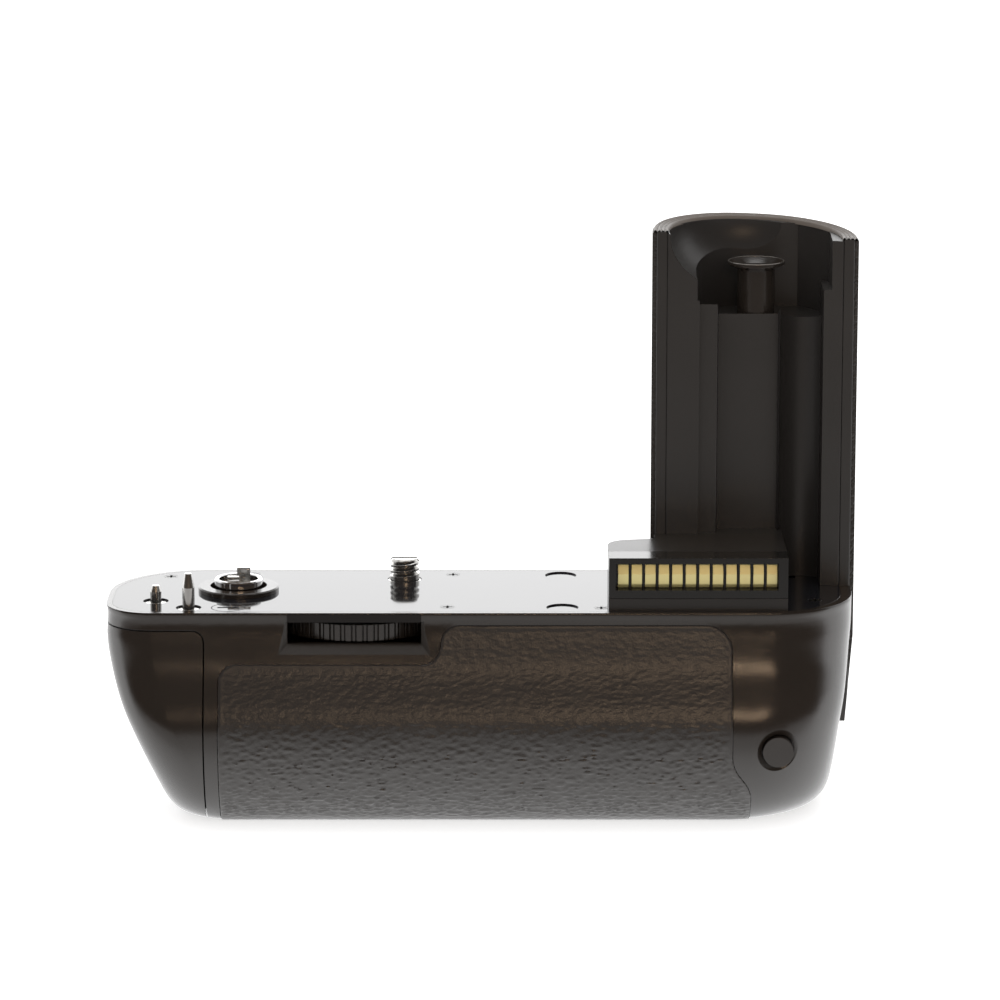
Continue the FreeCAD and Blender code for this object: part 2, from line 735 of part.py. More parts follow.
def rear_dish():
    """The shallow dish round the rear button, part of a ball, sunk square to the rounded corner there."""
    radius, depth = number("dish_radius"), number("dish_depth")
    ball = (radius * radius + depth * depth) / (2 * depth)
    x, z, bend = number("rear_button_x"), number("rear_button_z"), number("corner_rear_right")
    middle_x = number("body_right") - side_step(z, RIGHT_SIDE) - bend
    middle_y = number("rear_edge") - side_step(z, REAR_SIDE) + bend
    turn = math.asin(max(0.0, min(0.9, (x - middle_x) / bend)))
    outward = Vector(math.sin(turn), -math.cos(turn), -0.12).normalize()
    start = Vector(x, middle_y - bend * math.cos(turn), z)
    return Part.makeSphere(ball, start + outward * (ball - depth))


RELEASE_TURN = 45.0


def release_point(reach):
    """A point on the axis of the release, so far in front of its seat inside the rounded corner."""
    radius = number("corner_front_right")
    reach += radius - number("release_seat_depth")
    centre_x = number("body_right") - 2.4 - radius
    centre_y = number("arm_front") - 0.7 - radius
    across = reach * math.cos(math.radians(RELEASE_TURN))
    along = reach * math.sin(math.radians(RELEASE_TURN))
    return Vector(centre_x + across, centre_y + along, number("release_z"))


def release_rod(radius, start, end):
    """A cylinder on the axis of the release."""
    return Part.makeCylinder(radius, end - start, release_point(start), release_point(1) - release_point(0))


def release_block(bottom, top):
    """An upright block behind the release, square to its axis."""
    block = Part.makeBox(3.6, 5.0, number(top) - number(bottom), Vector(3.5, -2.5, 0))
    block.rotate(Vector(0, 0, 0), Vector(0, 0, 1), RELEASE_TURN)
    start = release_point(0)
    block.translate(Vector(start.x, start.y, number(bottom)))
    return block


PAD_SPACE = []


def pad_space():
    """The space of the rubber pad: a thin layer of the form, inside the pad's outline."""
    if PAD_SPACE:
        return PAD_SPACE[0]
    left, right, heel = number("pad_left"), number("pad_right"), number("pad_heel")
    step_x, top, step = number("pad_step_x"), -number("pad_top"), -number("pad_step")
    bottom = number("base_bottom") - 5
    heel_top = number("base_bottom") + number("pad_heel_rise")
    points = [(left, bottom), (heel, bottom), (heel, heel_top - 1.2), (right, heel_top + 4.4), (right, top),
              (step_x, top), (step_x, step), (left, step)]
    radii = [1.0, 1.0, 8.0, 8.0, 5.5, 4.0, 4.0, 3.5]
    flat = Part.Face(rounded_wire(points, radii, 0.0))
    flat.rotate(Vector(0, 0, 0), Vector(1, 0, 0), 90)
    behind, ahead = number("rear_edge - 20"), number("front_edge - pad_front_margin")
    flat.translate(Vector(0, behind, 0))
    outline = feature("pad_outline", flat.extrude(Vector(0, ahead - behind, 0)))
    layer = cut("pad_layer", form("3"), form("-pad_sunk"))
    PAD_SPACE.append(common("pad_space", layer, outline))
    return PAD_SPACE[0]


FASTENERS = [("body_left + 12.1", "front_edge - 6.5"), ("body_left + 29.8", "front_edge - 4.3"),
             ("10.4", "front_edge - 4.7"), ("9.5", "rear_edge + 5.6"),
             ("block_left - 1.5", "rear_edge + 4.7"), ("body_right - 8.3", "rear_edge + 11.7")]
BOARD_POSTS = [(x, y) for x in ("board_left + 1", "board_right - 1.5") for y in ("-21", "0.5")]


# Mating plate and what sits in it


def top_plate():
    blank = feature("plate_blank", plate_outline(0.05, -number("plate_thickness"), 0.0))
    low = "-plate_thickness - 1"
    holes = [
        rod("screw_hole", "0", "0", low, "1", "screw_collar + screw_play"),
        rod("screw_gear_space", "0", "0", low, "-gear_pocket", "screw_gear_pocket"),
        rod("wheel_gear_space", "wheel_x", "wheel_y", low, "-gear_pocket", "wheel_gear_pocket"),
        rod("coupling_hole", "coupling_x", "coupling_y", low, "1", "flange_bore + sleeve_wall"),
        rod("short_pin_recess", "short_pin_x", "short_pin_y", low, "1", "pin_recess"),
        rod("tall_pin_recess", "tall_pin_x", "tall_pin_y", low, "1", "pin_recess"),
        rod("plug_recess", "plug_x", "plug_y", "-plug_depth", "1", "plug_radius + 0.15"),
        rod("rear_dimple", "dimple_x", "-26.2", "-dimple_depth", "1", "dimple_radius"),
        rod("front_dimple", "dimple_x", "3.4", "-dimple_depth", "1", "dimple_radius"),
        slab("cable_slot", "block_left + 6", "block_right - 8", "-20", "-14", low, "1"),
        slab("arm_cable_slot", "bay_left + 1", "core_right - 9", "1", "6", low, "1"),
    ]
    for index, (x, y) in enumerate(FASTENERS):
        holes.append(rod("fastener_hole_%d" % index, x, y, low, "1", "fastener_shank"))
        holes.append(cone("fastener_sink_%d" % index, x, y, "-fastener_sink", "0.1",
                          "fastener_shank", "fastener_head + 0.1"))
    return node(cut("top_plate", blank, *holes), "top_plate")


def plate_screws():
    """Six cross-head screws of one kind."""
    screws = []
    arm = 0.22
    for index, (x, y) in enumerate(FASTENERS):
        shank = rod("shank_%d" % index, x, y, "-fastener_length", "-fastener_sink", "fastener_shank")
        head = cone("head_%d" % index, x, y, "-fastener_sink", "0", "fastener_shank", "fastener_head")
        cross = [slab("slot_a_%d" % index, "%s - 1" % x, "%s + 1" % x, "%s - %s" % (y, arm),
                      "%s + %s" % (y, arm), "-0.5", "0.2"),
                 slab("slot_b_%d" % index, "%s - %s" % (x, arm), "%s + %s" % (x, arm), "%s - 1" % y,
                      "%s + 1" % y, "-0.5", "0.2")]
        screws.append(cut("fastener_%d" % index, fuse("fastener_blank_%d" % index, shank, head), *cross))
    return node(group("plate_screws", *screws), "plate_screws")


def pins():
    """Two steel locating pins with broad feet, riveted in a steel strip under the mating plate."""
    low = "-plate_thickness - bracket_thickness"
    strip = rounded_plate("pin_strip", "short_pin_x - 3", "tall_pin_x + 3", "tall_pin_y - 2.4",
                          "short_pin_y + 3.2", "1.4", low, "-plate_thickness")
    strip_holes = []
    for name, taper in (("short_pin", 1.3), ("tall_pin", 3.0)):
        radius = "%s_radius" % name
        shoulder = "%s_reach - %s" % (name, taper)
        foot = rod(name + "_foot", name + "_x", name + "_y", "-plate_thickness", "-pin_boss_drop",
                   "pin_boss_radius")
        body = rod(name + "_body", name + "_x", name + "_y", "-plate_thickness", shoulder, radius)
        rivet = rod(name + "_rivet", name + "_x", name + "_y", low, "-plate_thickness", "rivet_radius")
        tip = cone(name + "_tip", name + "_x", name + "_y", "%s_reach - %s" % (name, taper), name + "_reach",
                   radius, "0.75")
        node(fuse(name, foot, body, tip, rivet), name)
        strip_holes.append(rod(name + "_rivet_hole", name + "_x", name + "_y", low + " - 1", "0",
                               "rivet_radius"))
    return node(cut("pin_bracket", strip, *strip_holes), "pin_bracket")


def stowage_plug():
    disc = rod("plug_disc", "plug_x", "plug_y", "-plug_depth", "0", "plug_radius")
    groove = slab("plug_slot", "plug_x - 2.2", "plug_x + 2.2", "plug_y - 0.4", "plug_y + 0.4", "-0.5", "1")
    return node(cut("stowage_plug", disc, groove), "stowage_plug")


def gear(name, teeth, height, bore, turn):
    """A spur gear of the thumbwheel's train, with flat flanks and backlash."""
    module = number("gear_module")
    pitch_radius = module * teeth / 2
    tip, root = pitch_radius + 0.75 * module, pitch_radius - 1.0 * module
    blank = ring_of(teeth, [(root, 0.23), (tip, 0.36), (tip, 0.64), (root, 0.77)], height)
    piece = feature(name + "_teeth", blank.cut(Part.makeCylinder(bore, height)))
    piece.Placement = Placement(Vector(0, 0, 0), Rotation(Vector(0, 0, 1), turn))
    return piece


WHEEL_TEETH = 30
SCREW_TEETH = 20
KNURLS = 48
COUPLING_TEETH = 22


def thumbwheel():
    """Knurled wheel on its axle, with the gear that drives the camera screw."""
    radius = number("wheel_radius")
    low = radius - 0.6
    ribs = [(radius, 0.02), (radius, 0.50), (low, 0.55), (low, 0.62), (radius - 0.15, 0.66),
            (radius - 0.15, 0.88), (low, 0.92), (low, 0.98)]
    rim = feature("wheel_rim", ring_of(KNURLS, ribs, number("wheel_height")))
    place(rim, "wheel_x", "wheel_y", "wheel_bottom")
    hub = rod("wheel_hub", "wheel_x", "wheel_y", "tray_bottom + 0.5", "wheel_bottom + 0.1",
              "wheel_hub_radius")
    bore = rod("wheel_bore", "wheel_x", "wheel_y", "tray_bottom", "0", "axle_radius + running_play")
    node(cut("thumbwheel", fuse("wheel_blank", rim, hub), bore), "thumbwheel")
    line = math.degrees(math.atan2(-number("wheel_y"), -number("wheel_x")))
    turn = line - 180.0 / WHEEL_TEETH
    teeth = gear("wheel_gear", WHEEL_TEETH, number("wheel_drop") - number("gear_pocket") - 0.2,
                 number("axle_radius + running_play"), turn)
    place(teeth, "wheel_x", "wheel_y", "-wheel_drop")
    node(teeth, "wheel_gear")
    axle = rod("wheel_axle", "wheel_x", "wheel_y", "tray_bottom + 0.2", "-gear_pocket - 0.2", "axle_radius")
    return node(axle, "wheel_axle")


def thread_groove(radius, pitch, bottom, top):
    """The helical groove of a screw thread, as one solid to cut away."""
    depth = 0.5 * pitch
    half = 0.42 * pitch
    helix = Part.makeHelix(pitch, top - bottom, radius)
    helix.translate(Vector(0, 0, bottom))
    corners = [Vector(radius - depth, 0, bottom), Vector(radius + 0.2, 0, bottom + half),
               Vector(radius + 0.2, 0, bottom - half)]
    profile = Part.makePolygon(corners + [corners[0]])
    return Part.Wire(helix.Edges).makePipeShell([profile], True, True)


def attachment_screw():
    """The camera screw: it turns in the plate, held from below by its collar."""
    shank = rod("screw_shank", "0", "0", "-wheel_drop + 0.2", "screw_reach - 0.5", "screw_radius")
    tip = cone("screw_tip", "0", "0", "screw_reach - 0.5", "screw_reach", "screw_radius",
               "screw_radius - 0.5")
    collar = rod("screw_collar_ring", "0", "0", "-gear_pocket - 0.05", "-0.15", "screw_collar")
    blank = fuse("screw_blank", shank, tip, collar)
    groove = feature("screw_groove", thread_groove(number("screw_radius"), number("screw_pitch"),
                                                   0.6, number("screw_reach") + number("screw_pitch")))
    slot = slab("screw_slot", "-4", "4", "-0.55", "0.55", "screw_reach - 1.2", "screw_reach + 1")
    node(cut("attachment_screw", blank, groove, slot), "attachment_screw")
    line = math.degrees(math.atan2(-number("wheel_y"), -number("wheel_x")))
    height = number("wheel_drop") - number("gear_pocket") - 0.25
    teeth = gear("screw_gear", SCREW_TEETH, height, number("screw_radius"), line + 180.0)
    place(teeth, "0", "0", "-wheel_drop + 0.2")
    return node(teeth, "screw_gear")


def drive_coupling():
    """Flange and collar fixed in the plate, and the two-pronged driver that turns in them."""
    bore, wall = number("flange_bore"), number("sleeve_wall")
    rim, lift = number("flange_radius"), number("flange_height")
    deep, foot = number("flange_depth"), number("collar_depth")
    collar, inside = number("collar_radius"), number("collar_bore")
    flange = feature("coupling_flange", turned([
        (collar, -deep), (bore + wall, -deep), (bore + wall, 0), (rim, 0), (rim, lift - 0.25),
        (rim - 0.25, lift), (bore, lift), (bore, 0.8 - deep), (collar, 0.8 - deep)]))
    place(flange, "coupling_x", "coupling_y", "0")
    node(flange, "coupling_flange")
    top, shaft = number("collar_height"), number("shaft_radius")
    bearing = shaft + number("running_play")
    ring = feature("coupling_collar", turned([
        (bearing, -foot), (collar, -foot), (collar, top - 0.3), (collar - 0.2, top), (inside + 0.2, top),
        (inside, top - 0.2), (inside, 1 - foot), (bearing, 1 - foot)]))
    place(ring, "coupling_x", "coupling_y", "0")
    node(ring, "coupling_collar")
    head = rod("fork_head", "coupling_x", "coupling_y", "-collar_depth + 1.2", "0.6", "fork_radius")
    shank = rod("fork_shank", "coupling_x", "coupling_y", "tray_bottom + 0.3", "-collar_depth + 1.3",
                "shaft_radius")
    tall = slab("tall_prong", "coupling_x - 0.4", "coupling_x + 2.4", "coupling_y + 1.4", "coupling_y + 3.0",
                "0", "fork_reach")
    short = slab("short_prong", "coupling_x - 2.2", "coupling_x + 0.3", "coupling_y - 3.2",
                 "coupling_y - 1.8", "0", "fork_short")
    node(fuse("coupling_fork", head, shank, tall, short), "coupling_fork")
    tip = number("coupling_gear_radius")
    width = number("coupling_gear_width")
    teeth = ring_of(COUPLING_TEETH, [(tip - 0.5, 0.2), (tip, 0.38), (tip, 0.62), (tip - 0.5, 0.8)], width)
    wheel = feature("coupling_gear", teeth.cut(Part.makeCylinder(shaft, width)))
    place(wheel, "coupling_x", "coupling_y", "-drive_axis_drop - %s" % (width / 2))
    return node(wheel, "coupling_gear")


def drive_train():
    """Motor at the right end, and its long shaft with the worm that turns the coupling."""
    axis = "-drive_axis_drop"
    core = rod_x("worm_core", "coupling_x - 2.6", "coupling_x + 2.6", "drive_y", axis, "worm_radius")
    groove = thread_groove(number("worm_radius"), 1.1, 0.6, 4.6)
    thread = feature("worm_groove", groove)
    thread.Placement.Rotation = ALONG_X
    place(thread, "coupling_x - 2.6", "drive_y", axis, ALONG_X)
    worm = cut("worm", core, thread)
    shaft = rod_x("shaft_rod", "coupling_x - 3.0", "motor_left + 3", "drive_y", axis, "drive_shaft_radius")
    node(fuse("drive_shaft", worm, shaft), "drive_shaft")
    can = rod_x("motor_can", "motor_left", "motor_right", "drive_y", axis, "motor_radius")
    bore = rod_x("motor_bore", "motor_left - 1", "motor_left + 3.3", "drive_y", axis,
                 "drive_shaft_radius + running_play")
    boss = rod_x("motor_boss", "motor_right", "motor_right + 1", "drive_y", axis, "2")
    node(cut("drive_motor", fuse("motor_body", can, boss), bore), "drive_motor")
    plate = slab("bracket_plate", "bay_left", "motor_left", "drive_y - 6", "drive_y + 6", "-18",
                 "tray_bottom")
    cradle = slab("bracket_cradle", "bay_left", "motor_right - 3", "drive_y - 4.5", "drive_y + 4.5", "-16",
                  "-11")
    seat = rod_x("bracket_seat_bore", "motor_left", "motor_right + 2", "drive_y", axis, "motor_radius")
    node(cut("motor_bracket", fuse("bracket_blank", plate, cradle), seat), "motor_bracket")
    blocks = []
    for index, x in enumerate(("coupling_x + 4", "tunnel_right - 10")):
        block = slab("bearing_block_%d" % index, x, x + " + bearing_thickness", "drive_y - 2", "drive_y + 2",
                     "tray_bottom", "-7.05")
        hole = rod_x("bearing_bore_%d" % index, x + " - 1", x + " + 4", "drive_y", axis,
                     "drive_shaft_radius + running_play")
        blocks.append(cut("bearing_%d" % index, block, hole))
    return node(group("shaft_bearings", *blocks), "shaft_bearings")


# Connector


def connector():
    left, right = number("block_left"), number("block_right")
    seam, rear, tall = number("block_seam"), number("arm_rear"), number("block_height")
    side = number("arm_left") - 0.2
    points = [(left, seam), (right, seam), (right, rear), (side, rear), (side, rear - 4.0),
              (left, rear - 6.0)]
    cover = feature("connector_cover", prism(points, [0.4, 0.4, 0.3, 0.2, 2.0, 5.0], 0.0, tall))
    base = slab("connector_foot", "block_left", "block_right", "block_face - 0.2", "block_seam + 1", "0",
                "block_base")
    hollow = slab("connector_hollow", "block_left + 2", "block_right - 2", "block_seam + 3", "-13", "-1",
                  "block_height - 1.6")
    node(cut("connector_housing", fuse("connector_blank", cover, base), hollow), "connector_housing")
    outer = slab("contact_blank", "block_left", "block_right", "block_face", "block_seam", "block_base",
                 "block_height")
    recess = slab("contact_recess", "pad_first - 0.55", "pads_end + 0.2", "block_face - 1",
                  "block_face + 2.6", "4.4", "10.1")
    board_seat = slab("board_seat", "block_left + 2", "block_right - 2", "block_seam - 2.2", "block_seam + 1",
                      "block_base", "10.2")
    frame = cut("contact_frame_blank", outer, recess, board_seat)
    ribs = []
    gap, wide = number("pad_pitch - pad_width"), number("rib_width")
    for index in range(1, int(number("pad_count"))):
        x = number("pad_first") + index * number("pad_pitch") - (gap + wide) / 2
        ribs.append(slab("contact_rib_%d" % index, "%.4f" % x, "%.4f" % (x + wide), "block_face + 1.7",
                         "block_face + 2.7", "4.3", "10.2"))
    node(fuse("contact_frame", frame, *ribs), "contact_frame")
    pads = []
    y = number("block_face") + 2.6
    section = [(y, 4.5), (y - 0.25, 4.5), (y - 0.85, 5.3), (y - 1.1, 7.5), (y - 0.37, 9.5), (y, 9.5)]
    for index in range(int(number("pad_count"))):
        x = number("pad_first") + index * number("pad_pitch")
        corners = [Vector(x, along, height) for along, height in section]
        face = Part.Face(Part.makePolygon(corners + [corners[0]]))
        pads.append(feature("contact_pad_%d" % index, face.extrude(Vector(number("pad_width"), 0, 0))))
    node(group("contact_pads", *pads), "contact_pads")
    board = slab("connector_board", "block_left + 2.2", "block_right - 2.2", "block_seam - 2.2",
                 "block_seam - 0.6", "block_base", "10")
    return node(board, "connector_board")


# Upright grip


def under_crown(name, piece, drop):
    """Cut a piece of the upright grip along its top, which falls to the right and rises to the front."""
    above = doc.addObject("Part::Box", name + "_above")
    bind(above, "Length", "3 * arm_width")
    bind(above, "Width", "3 * arm_width")
    bind(above, "Height", "arm_width")
    fall = Rotation(Vector(0, 1, 0), number("crown_fall"))
    rise = Rotation(Vector(1, 0, 0), number("crown_rise"))
    turn = fall * rise
    reach = number("arm_width")
    start = turn.multVec(Vector(-reach, -reach, 0))
    above.Placement.Rotation = turn
    bind(above, "Placement.Base.x", "arm_left + %.6f" % start.x)
    bind(above, "Placement.Base.y", "arm_rear + %.6f" % start.y)
    bind(above, "Placement.Base.z", "arm_height + %.6f - %s" % (start.z, drop))
    return cut(name, piece, above)


def upright_grip():
    height, wall, skirt = number("arm_height + 6"), number("arm_wall"), number("arm_skirt")
    outer = feature("arm_outer", arm_prism(0.0, -skirt, height))
    inner = feature("arm_inner", arm_prism(-wall, -skirt - 5, height + 5, 10.0))
    under_left = slab("arm_under_left", "arm_left - 20", "bay_left", "arm_rear - 20", "front_edge",
                      "-arm_skirt - 5", "0")
    taper = feature("skirt_taper_space", skirt_wedge())
    node(under_crown("arm_shell", cut("arm_wall_blank", outer, inner, under_left, taper), "0"), "arm_shell")

    cover = feature("leather_outer", arm_prism(number("skin"), -skirt + 0.4, height))
    within = feature("leather_inner", arm_prism(0.0, -skirt - 5, height + 5, 10.0))
    bare_back = slab("leather_back", "arm_left - 20", "body_right + 20", "arm_rear - 20", "arm_rear + 0.6",
                     "-arm_skirt - 5", "arm_height + 5")
    bare_foot = slab("leather_foot", "arm_left - 20", "bay_left", "arm_rear - 20", "front_edge + 2.5",
                     "-arm_skirt - 5", "0")
    leather = cut("leather_blank", cover, within, bare_back, bare_foot, taper)
    node(under_crown("arm_leather", leather, "0.3"), "arm_leather")

    blank = under_crown("core_blank", feature("core_prism", arm_prism(-wall, 0.0, height)), "0.4")
    trough = feature("core_trough", core_face())
    sill = slab("core_sill", "core_left", "block_right", "arm_rear - 20", "arm_front", "-1", "block_height")
    chamber = feature("core_chamber", chamber_space())
    flare = doc.addObject("Part::Ellipsoid", "core_flare")
    bind(flare, "Radius1", "flare_tall")
    bind(flare, "Radius2", "flare_long")
    bind(flare, "Radius3", "flare_deep")
    place(flare, "arm_left + flare_inset", "arm_rear + 2.3", "arm_height - 0.8")
    pocket = slab("core_pocket", "pocket_left", "core_right - pocket_wall", "arm_rear - 5",
                  "core_front - pocket_wall", "arm_height - pocket_drop", "arm_height + 9")
    hollow = slab("core_hollow", "core_left + 9", "core_right - 9", "5.6", "core_front - 4.2", "-1",
                  "stud_foot - 2")
    socket = rod("stud_socket", "stud_x", "stud_y", "stud_foot", "stud_top + 20", "stud_neck_radius")
    lower = cut("core_trough_above", trough, sill)
    node(cut_in_turn("core", blank, lower, chamber, flare, pocket, hollow, socket), "arm_core")

    neck = rod("stud_neck", "stud_x", "stud_y", "stud_foot", "stud_top - stud_cup_height", "stud_neck_radius")
    under = cone("stud_cup_under", "stud_x", "stud_y", "stud_top - stud_cup_height - stud_cup_flare",
                 "stud_top - stud_cup_height", "stud_neck_radius", "stud_cup_radius")
    cup = rod("stud_cup", "stud_x", "stud_y", "stud_top - stud_cup_height", "stud_top", "stud_cup_radius")
    well = cone("stud_well", "stud_x", "stud_y", "stud_top - 1.1", "stud_top + 0.01", "3.6",
                "stud_cup_radius - 0.5")
    return node(cut("locating_stud", fuse("stud_blank", neck, under, cup), well), "locating_stud")


def skirt_wedge():
    """What the skirt loses on its right side, where it draws in like the base beside it."""
    outside = number("body_right + skin")
    foot, high = -number("arm_skirt"), number("skirt_taper_height - arm_skirt")
    line = [Vector(outside, 0, high), Vector(outside + 5, 0, high), Vector(outside + 5, 0, foot - 1),
            Vector(outside - number("skirt_taper"), 0, foot - 1)]
    face = Part.Face(Part.makePolygon(line + [line[0]]))
    face.translate(Vector(0, number("arm_rear") - 20, 0))
    return face.extrude(Vector(0, number("arm_front") - number("arm_rear") + 40, 0))


def chamber_space():
    """The chamber at the top of the grip that takes the camera's boss: a floor that falls to the front."""
    rear, floor = number("arm_rear"), number("arm_height - chamber_drop")
    ahead, above = rear + number("chamber_depth"), number("arm_height + 9")
    line = [Vector(0, rear - 14, floor + 9), Vector(0, rear, floor), Vector(0, rear + 5.9, floor - 3.8),
            Vector(0, rear + 9.5, floor - 5.2), Vector(0, ahead, floor - 4), Vector(0, ahead, above),
            Vector(0, rear - 14, above)]
    left, right = number("chamber_left"), number("core_rib")
    face = Part.Face(Part.makePolygon(line + [line[0]]))
    face.translate(Vector(left, 0, 0))
    plan = [(left, rear - 14), (right, rear - 14), (right, ahead), (left, ahead)]
    column = prism(plan, [1.0, 1.0, 1.0, number("chamber_corner")], floor - 9, above)
    return face.extrude(Vector(right - left, 0, 0)).common(column)


def core_face():
    """What is cut from the inside of the grip: a step, a flat trough and a hollow flank."""
    rear = number("arm_rear")
    step_left, trough_left = number("core_step"), number("core_trough")
    ridge, flank_right = number("core_ridge"), number("core_rib")
    start = Vector(ridge + 0.3, rear + 3.5, 0)
    middle = Vector(ridge + 5.6, rear + 9.4, 0)
    end = Vector(flank_right, rear + 7.8, 0)
    line = [Vector(flank_right, rear - 10, 0), Vector(step_left, rear - 10, 0),
            Vector(step_left, rear + 1.5, 0), Vector(trough_left, rear + 1.7, 0),
            Vector(trough_left + 0.4, rear + 5.9, 0), Vector(ridge, rear + 5.9, 0), start]
    edges = [Part.LineSegment(a, b).toShape() for a, b in zip(line, line[1:])]
    edges.append(Part.Arc(start, middle, end).toShape())
    edges.append(Part.LineSegment(end, line[0]).toShape())
    face = Part.Face(Part.Wire(edges))
    return face.extrude(Vector(0, 0, number("arm_height - chamber_drop")))


# Pads, boards and controls


def grip_pad():
    pad = common("grip_pad_blank", form("pad_proud"), pad_space())
    hole = rod("pad_socket_hole", "0", "drawer_y", "base_bottom - 5", "base_bottom + 5",
               "tripod_radius + 1.5")
    return node(cut("grip_pad", pad, hole), "grip_pad")


def boards():
    node(rounded_plate("main_board", "board_left", "board_right", "-22.5", "2.0", "1.0", "-board_drop",
                       "-board_drop + board_thickness"), "main_board")
    board = slab("control_board", "bay_left", "rear_button_x + 1", "rear_edge + 3.1",
                 "rear_edge + 3.1 + board_thickness", "rear_button_z - 8", "rear_button_z + 14.6")
    node(board, "control_board")
    switch = slab("rear_switch", "rear_button_x - 3", "rear_button_x + 2", "button_back + 1.7",
                  "rear_edge + 3.1", "rear_button_z - 3", "rear_button_z + 3")
    node(switch, "rear_switch")
    block = slab("terminal_block", "bay_left", "bay_left + 3", "drawer_y - 8", "drawer_y + 8", "drawer_z - 8",
                 "drawer_z + 8")
    node(block, "terminal_block")
    pins_out = [rod_x("terminal_pin_%d" % index, "drawer_right + 0.3", "bay_left", "drawer_y",
                      "drawer_z + %s" % shift, "1.0") for index, shift in enumerate(("5", "-5"))]
    return node(group("terminal_pins", *pins_out), "terminal_pins")


def rear_button():
    cap = rod_y("button_cap", "rear_button_x", "button_face", "button_stop + 0.1", "rear_button_z",
                "rear_button_radius")
    flange = rod_y("button_flange", "rear_button_x", "button_stop", "button_back", "rear_button_z",
                   "rear_button_radius + button_ledge - 0.1")
    plunger = rod_y("button_plunger", "rear_button_x", "button_back", "button_back + 0.7",
                    "rear_button_z", "1.2")
    return node(fuse("rear_button", cap, flange, plunger), "rear_button")


def release():
    """The second shutter release on the front corner, its bezel and the switch behind it."""
    radius, rim = number("release_radius"), number("bezel_radius")
    gap = number("button_gap")
    bezel = release_rod(rim, 10.8, 14.3).cut(release_rod(radius + gap, 10.0, 15.0))
    node(feature("release_bezel", bezel), "release_bezel")
    cap = release_rod(radius, 9.9, 14.7)
    flange = release_rod(radius + 0.7, 9.6, 10.4)
    plunger = release_rod(1.5, 8.2, 9.7)
    node(feature("shutter_button", cap.fuse([flange, plunger]).removeSplitter()), "shutter_button")
    switch = feature("release_switch", release_block("release_z - 4", "release_z + 3"))
    return node(switch, "release_switch")


def control_dial():
    radius = number("dial_radius")
    outline = [(radius, 0.05), (radius, 0.5), (radius - 0.35, 0.62), (radius - 0.35, 0.93)]
    disc = ring_of(32, outline, number("dial_height"))
    bore = Part.makeCylinder(number("dial_axle + running_play"), number("dial_height"))
    dial = feature("control_dial", disc.cut(bore))
    place(dial, "dial_x", "dial_y", "dial_z - 1.8")
    node(dial, "control_dial")
    return node(rod("dial_axle", "dial_x", "dial_y", "dial_z - 2.1", "dial_z + 3", "dial_axle"), "dial_axle")


def power_switch():
    disc = rod_y("switch_disc", "switch_x", "arm_front - 0.6", "arm_front + 0.3", "switch_z", "switch_radius")
    lever = slab("switch_lever", "switch_x - 1", "switch_x + 1", "arm_front + 0.1", "arm_front + 1",
                 "switch_z", "switch_z + switch_radius + 1.2")
    shank = rod_y("switch_shank", "switch_x", "arm_front - 4.6", "arm_front - 0.6", "switch_z",
                  "switch_shank")
    keeper = rod_y("switch_keeper_disc", "switch_x", "arm_front - 5.2", "arm_front - 4.3", "switch_z",
                   "switch_keeper")
    return node(fuse("power_switch", disc, lever, shank, keeper), "power_switch")


def tripod_socket():
    insert = rod("socket_insert", "0", "drawer_y", "base_bottom", "tripod_top", "tripod_radius")
    bore = rod("socket_thread", "0", "drawer_y", "base_bottom - 1", "tripod_top + 1", "tripod_bore")
    return node(cut("tripod_socket", insert, bore), "tripod_socket")


# Drawer of cells

ROWS = [("-", "-"), ("-", "+"), ("+", "-"), ("+", "+")]
HALVES = [("cells_left", "cells_middle"), ("cells_second", "cells_right")]


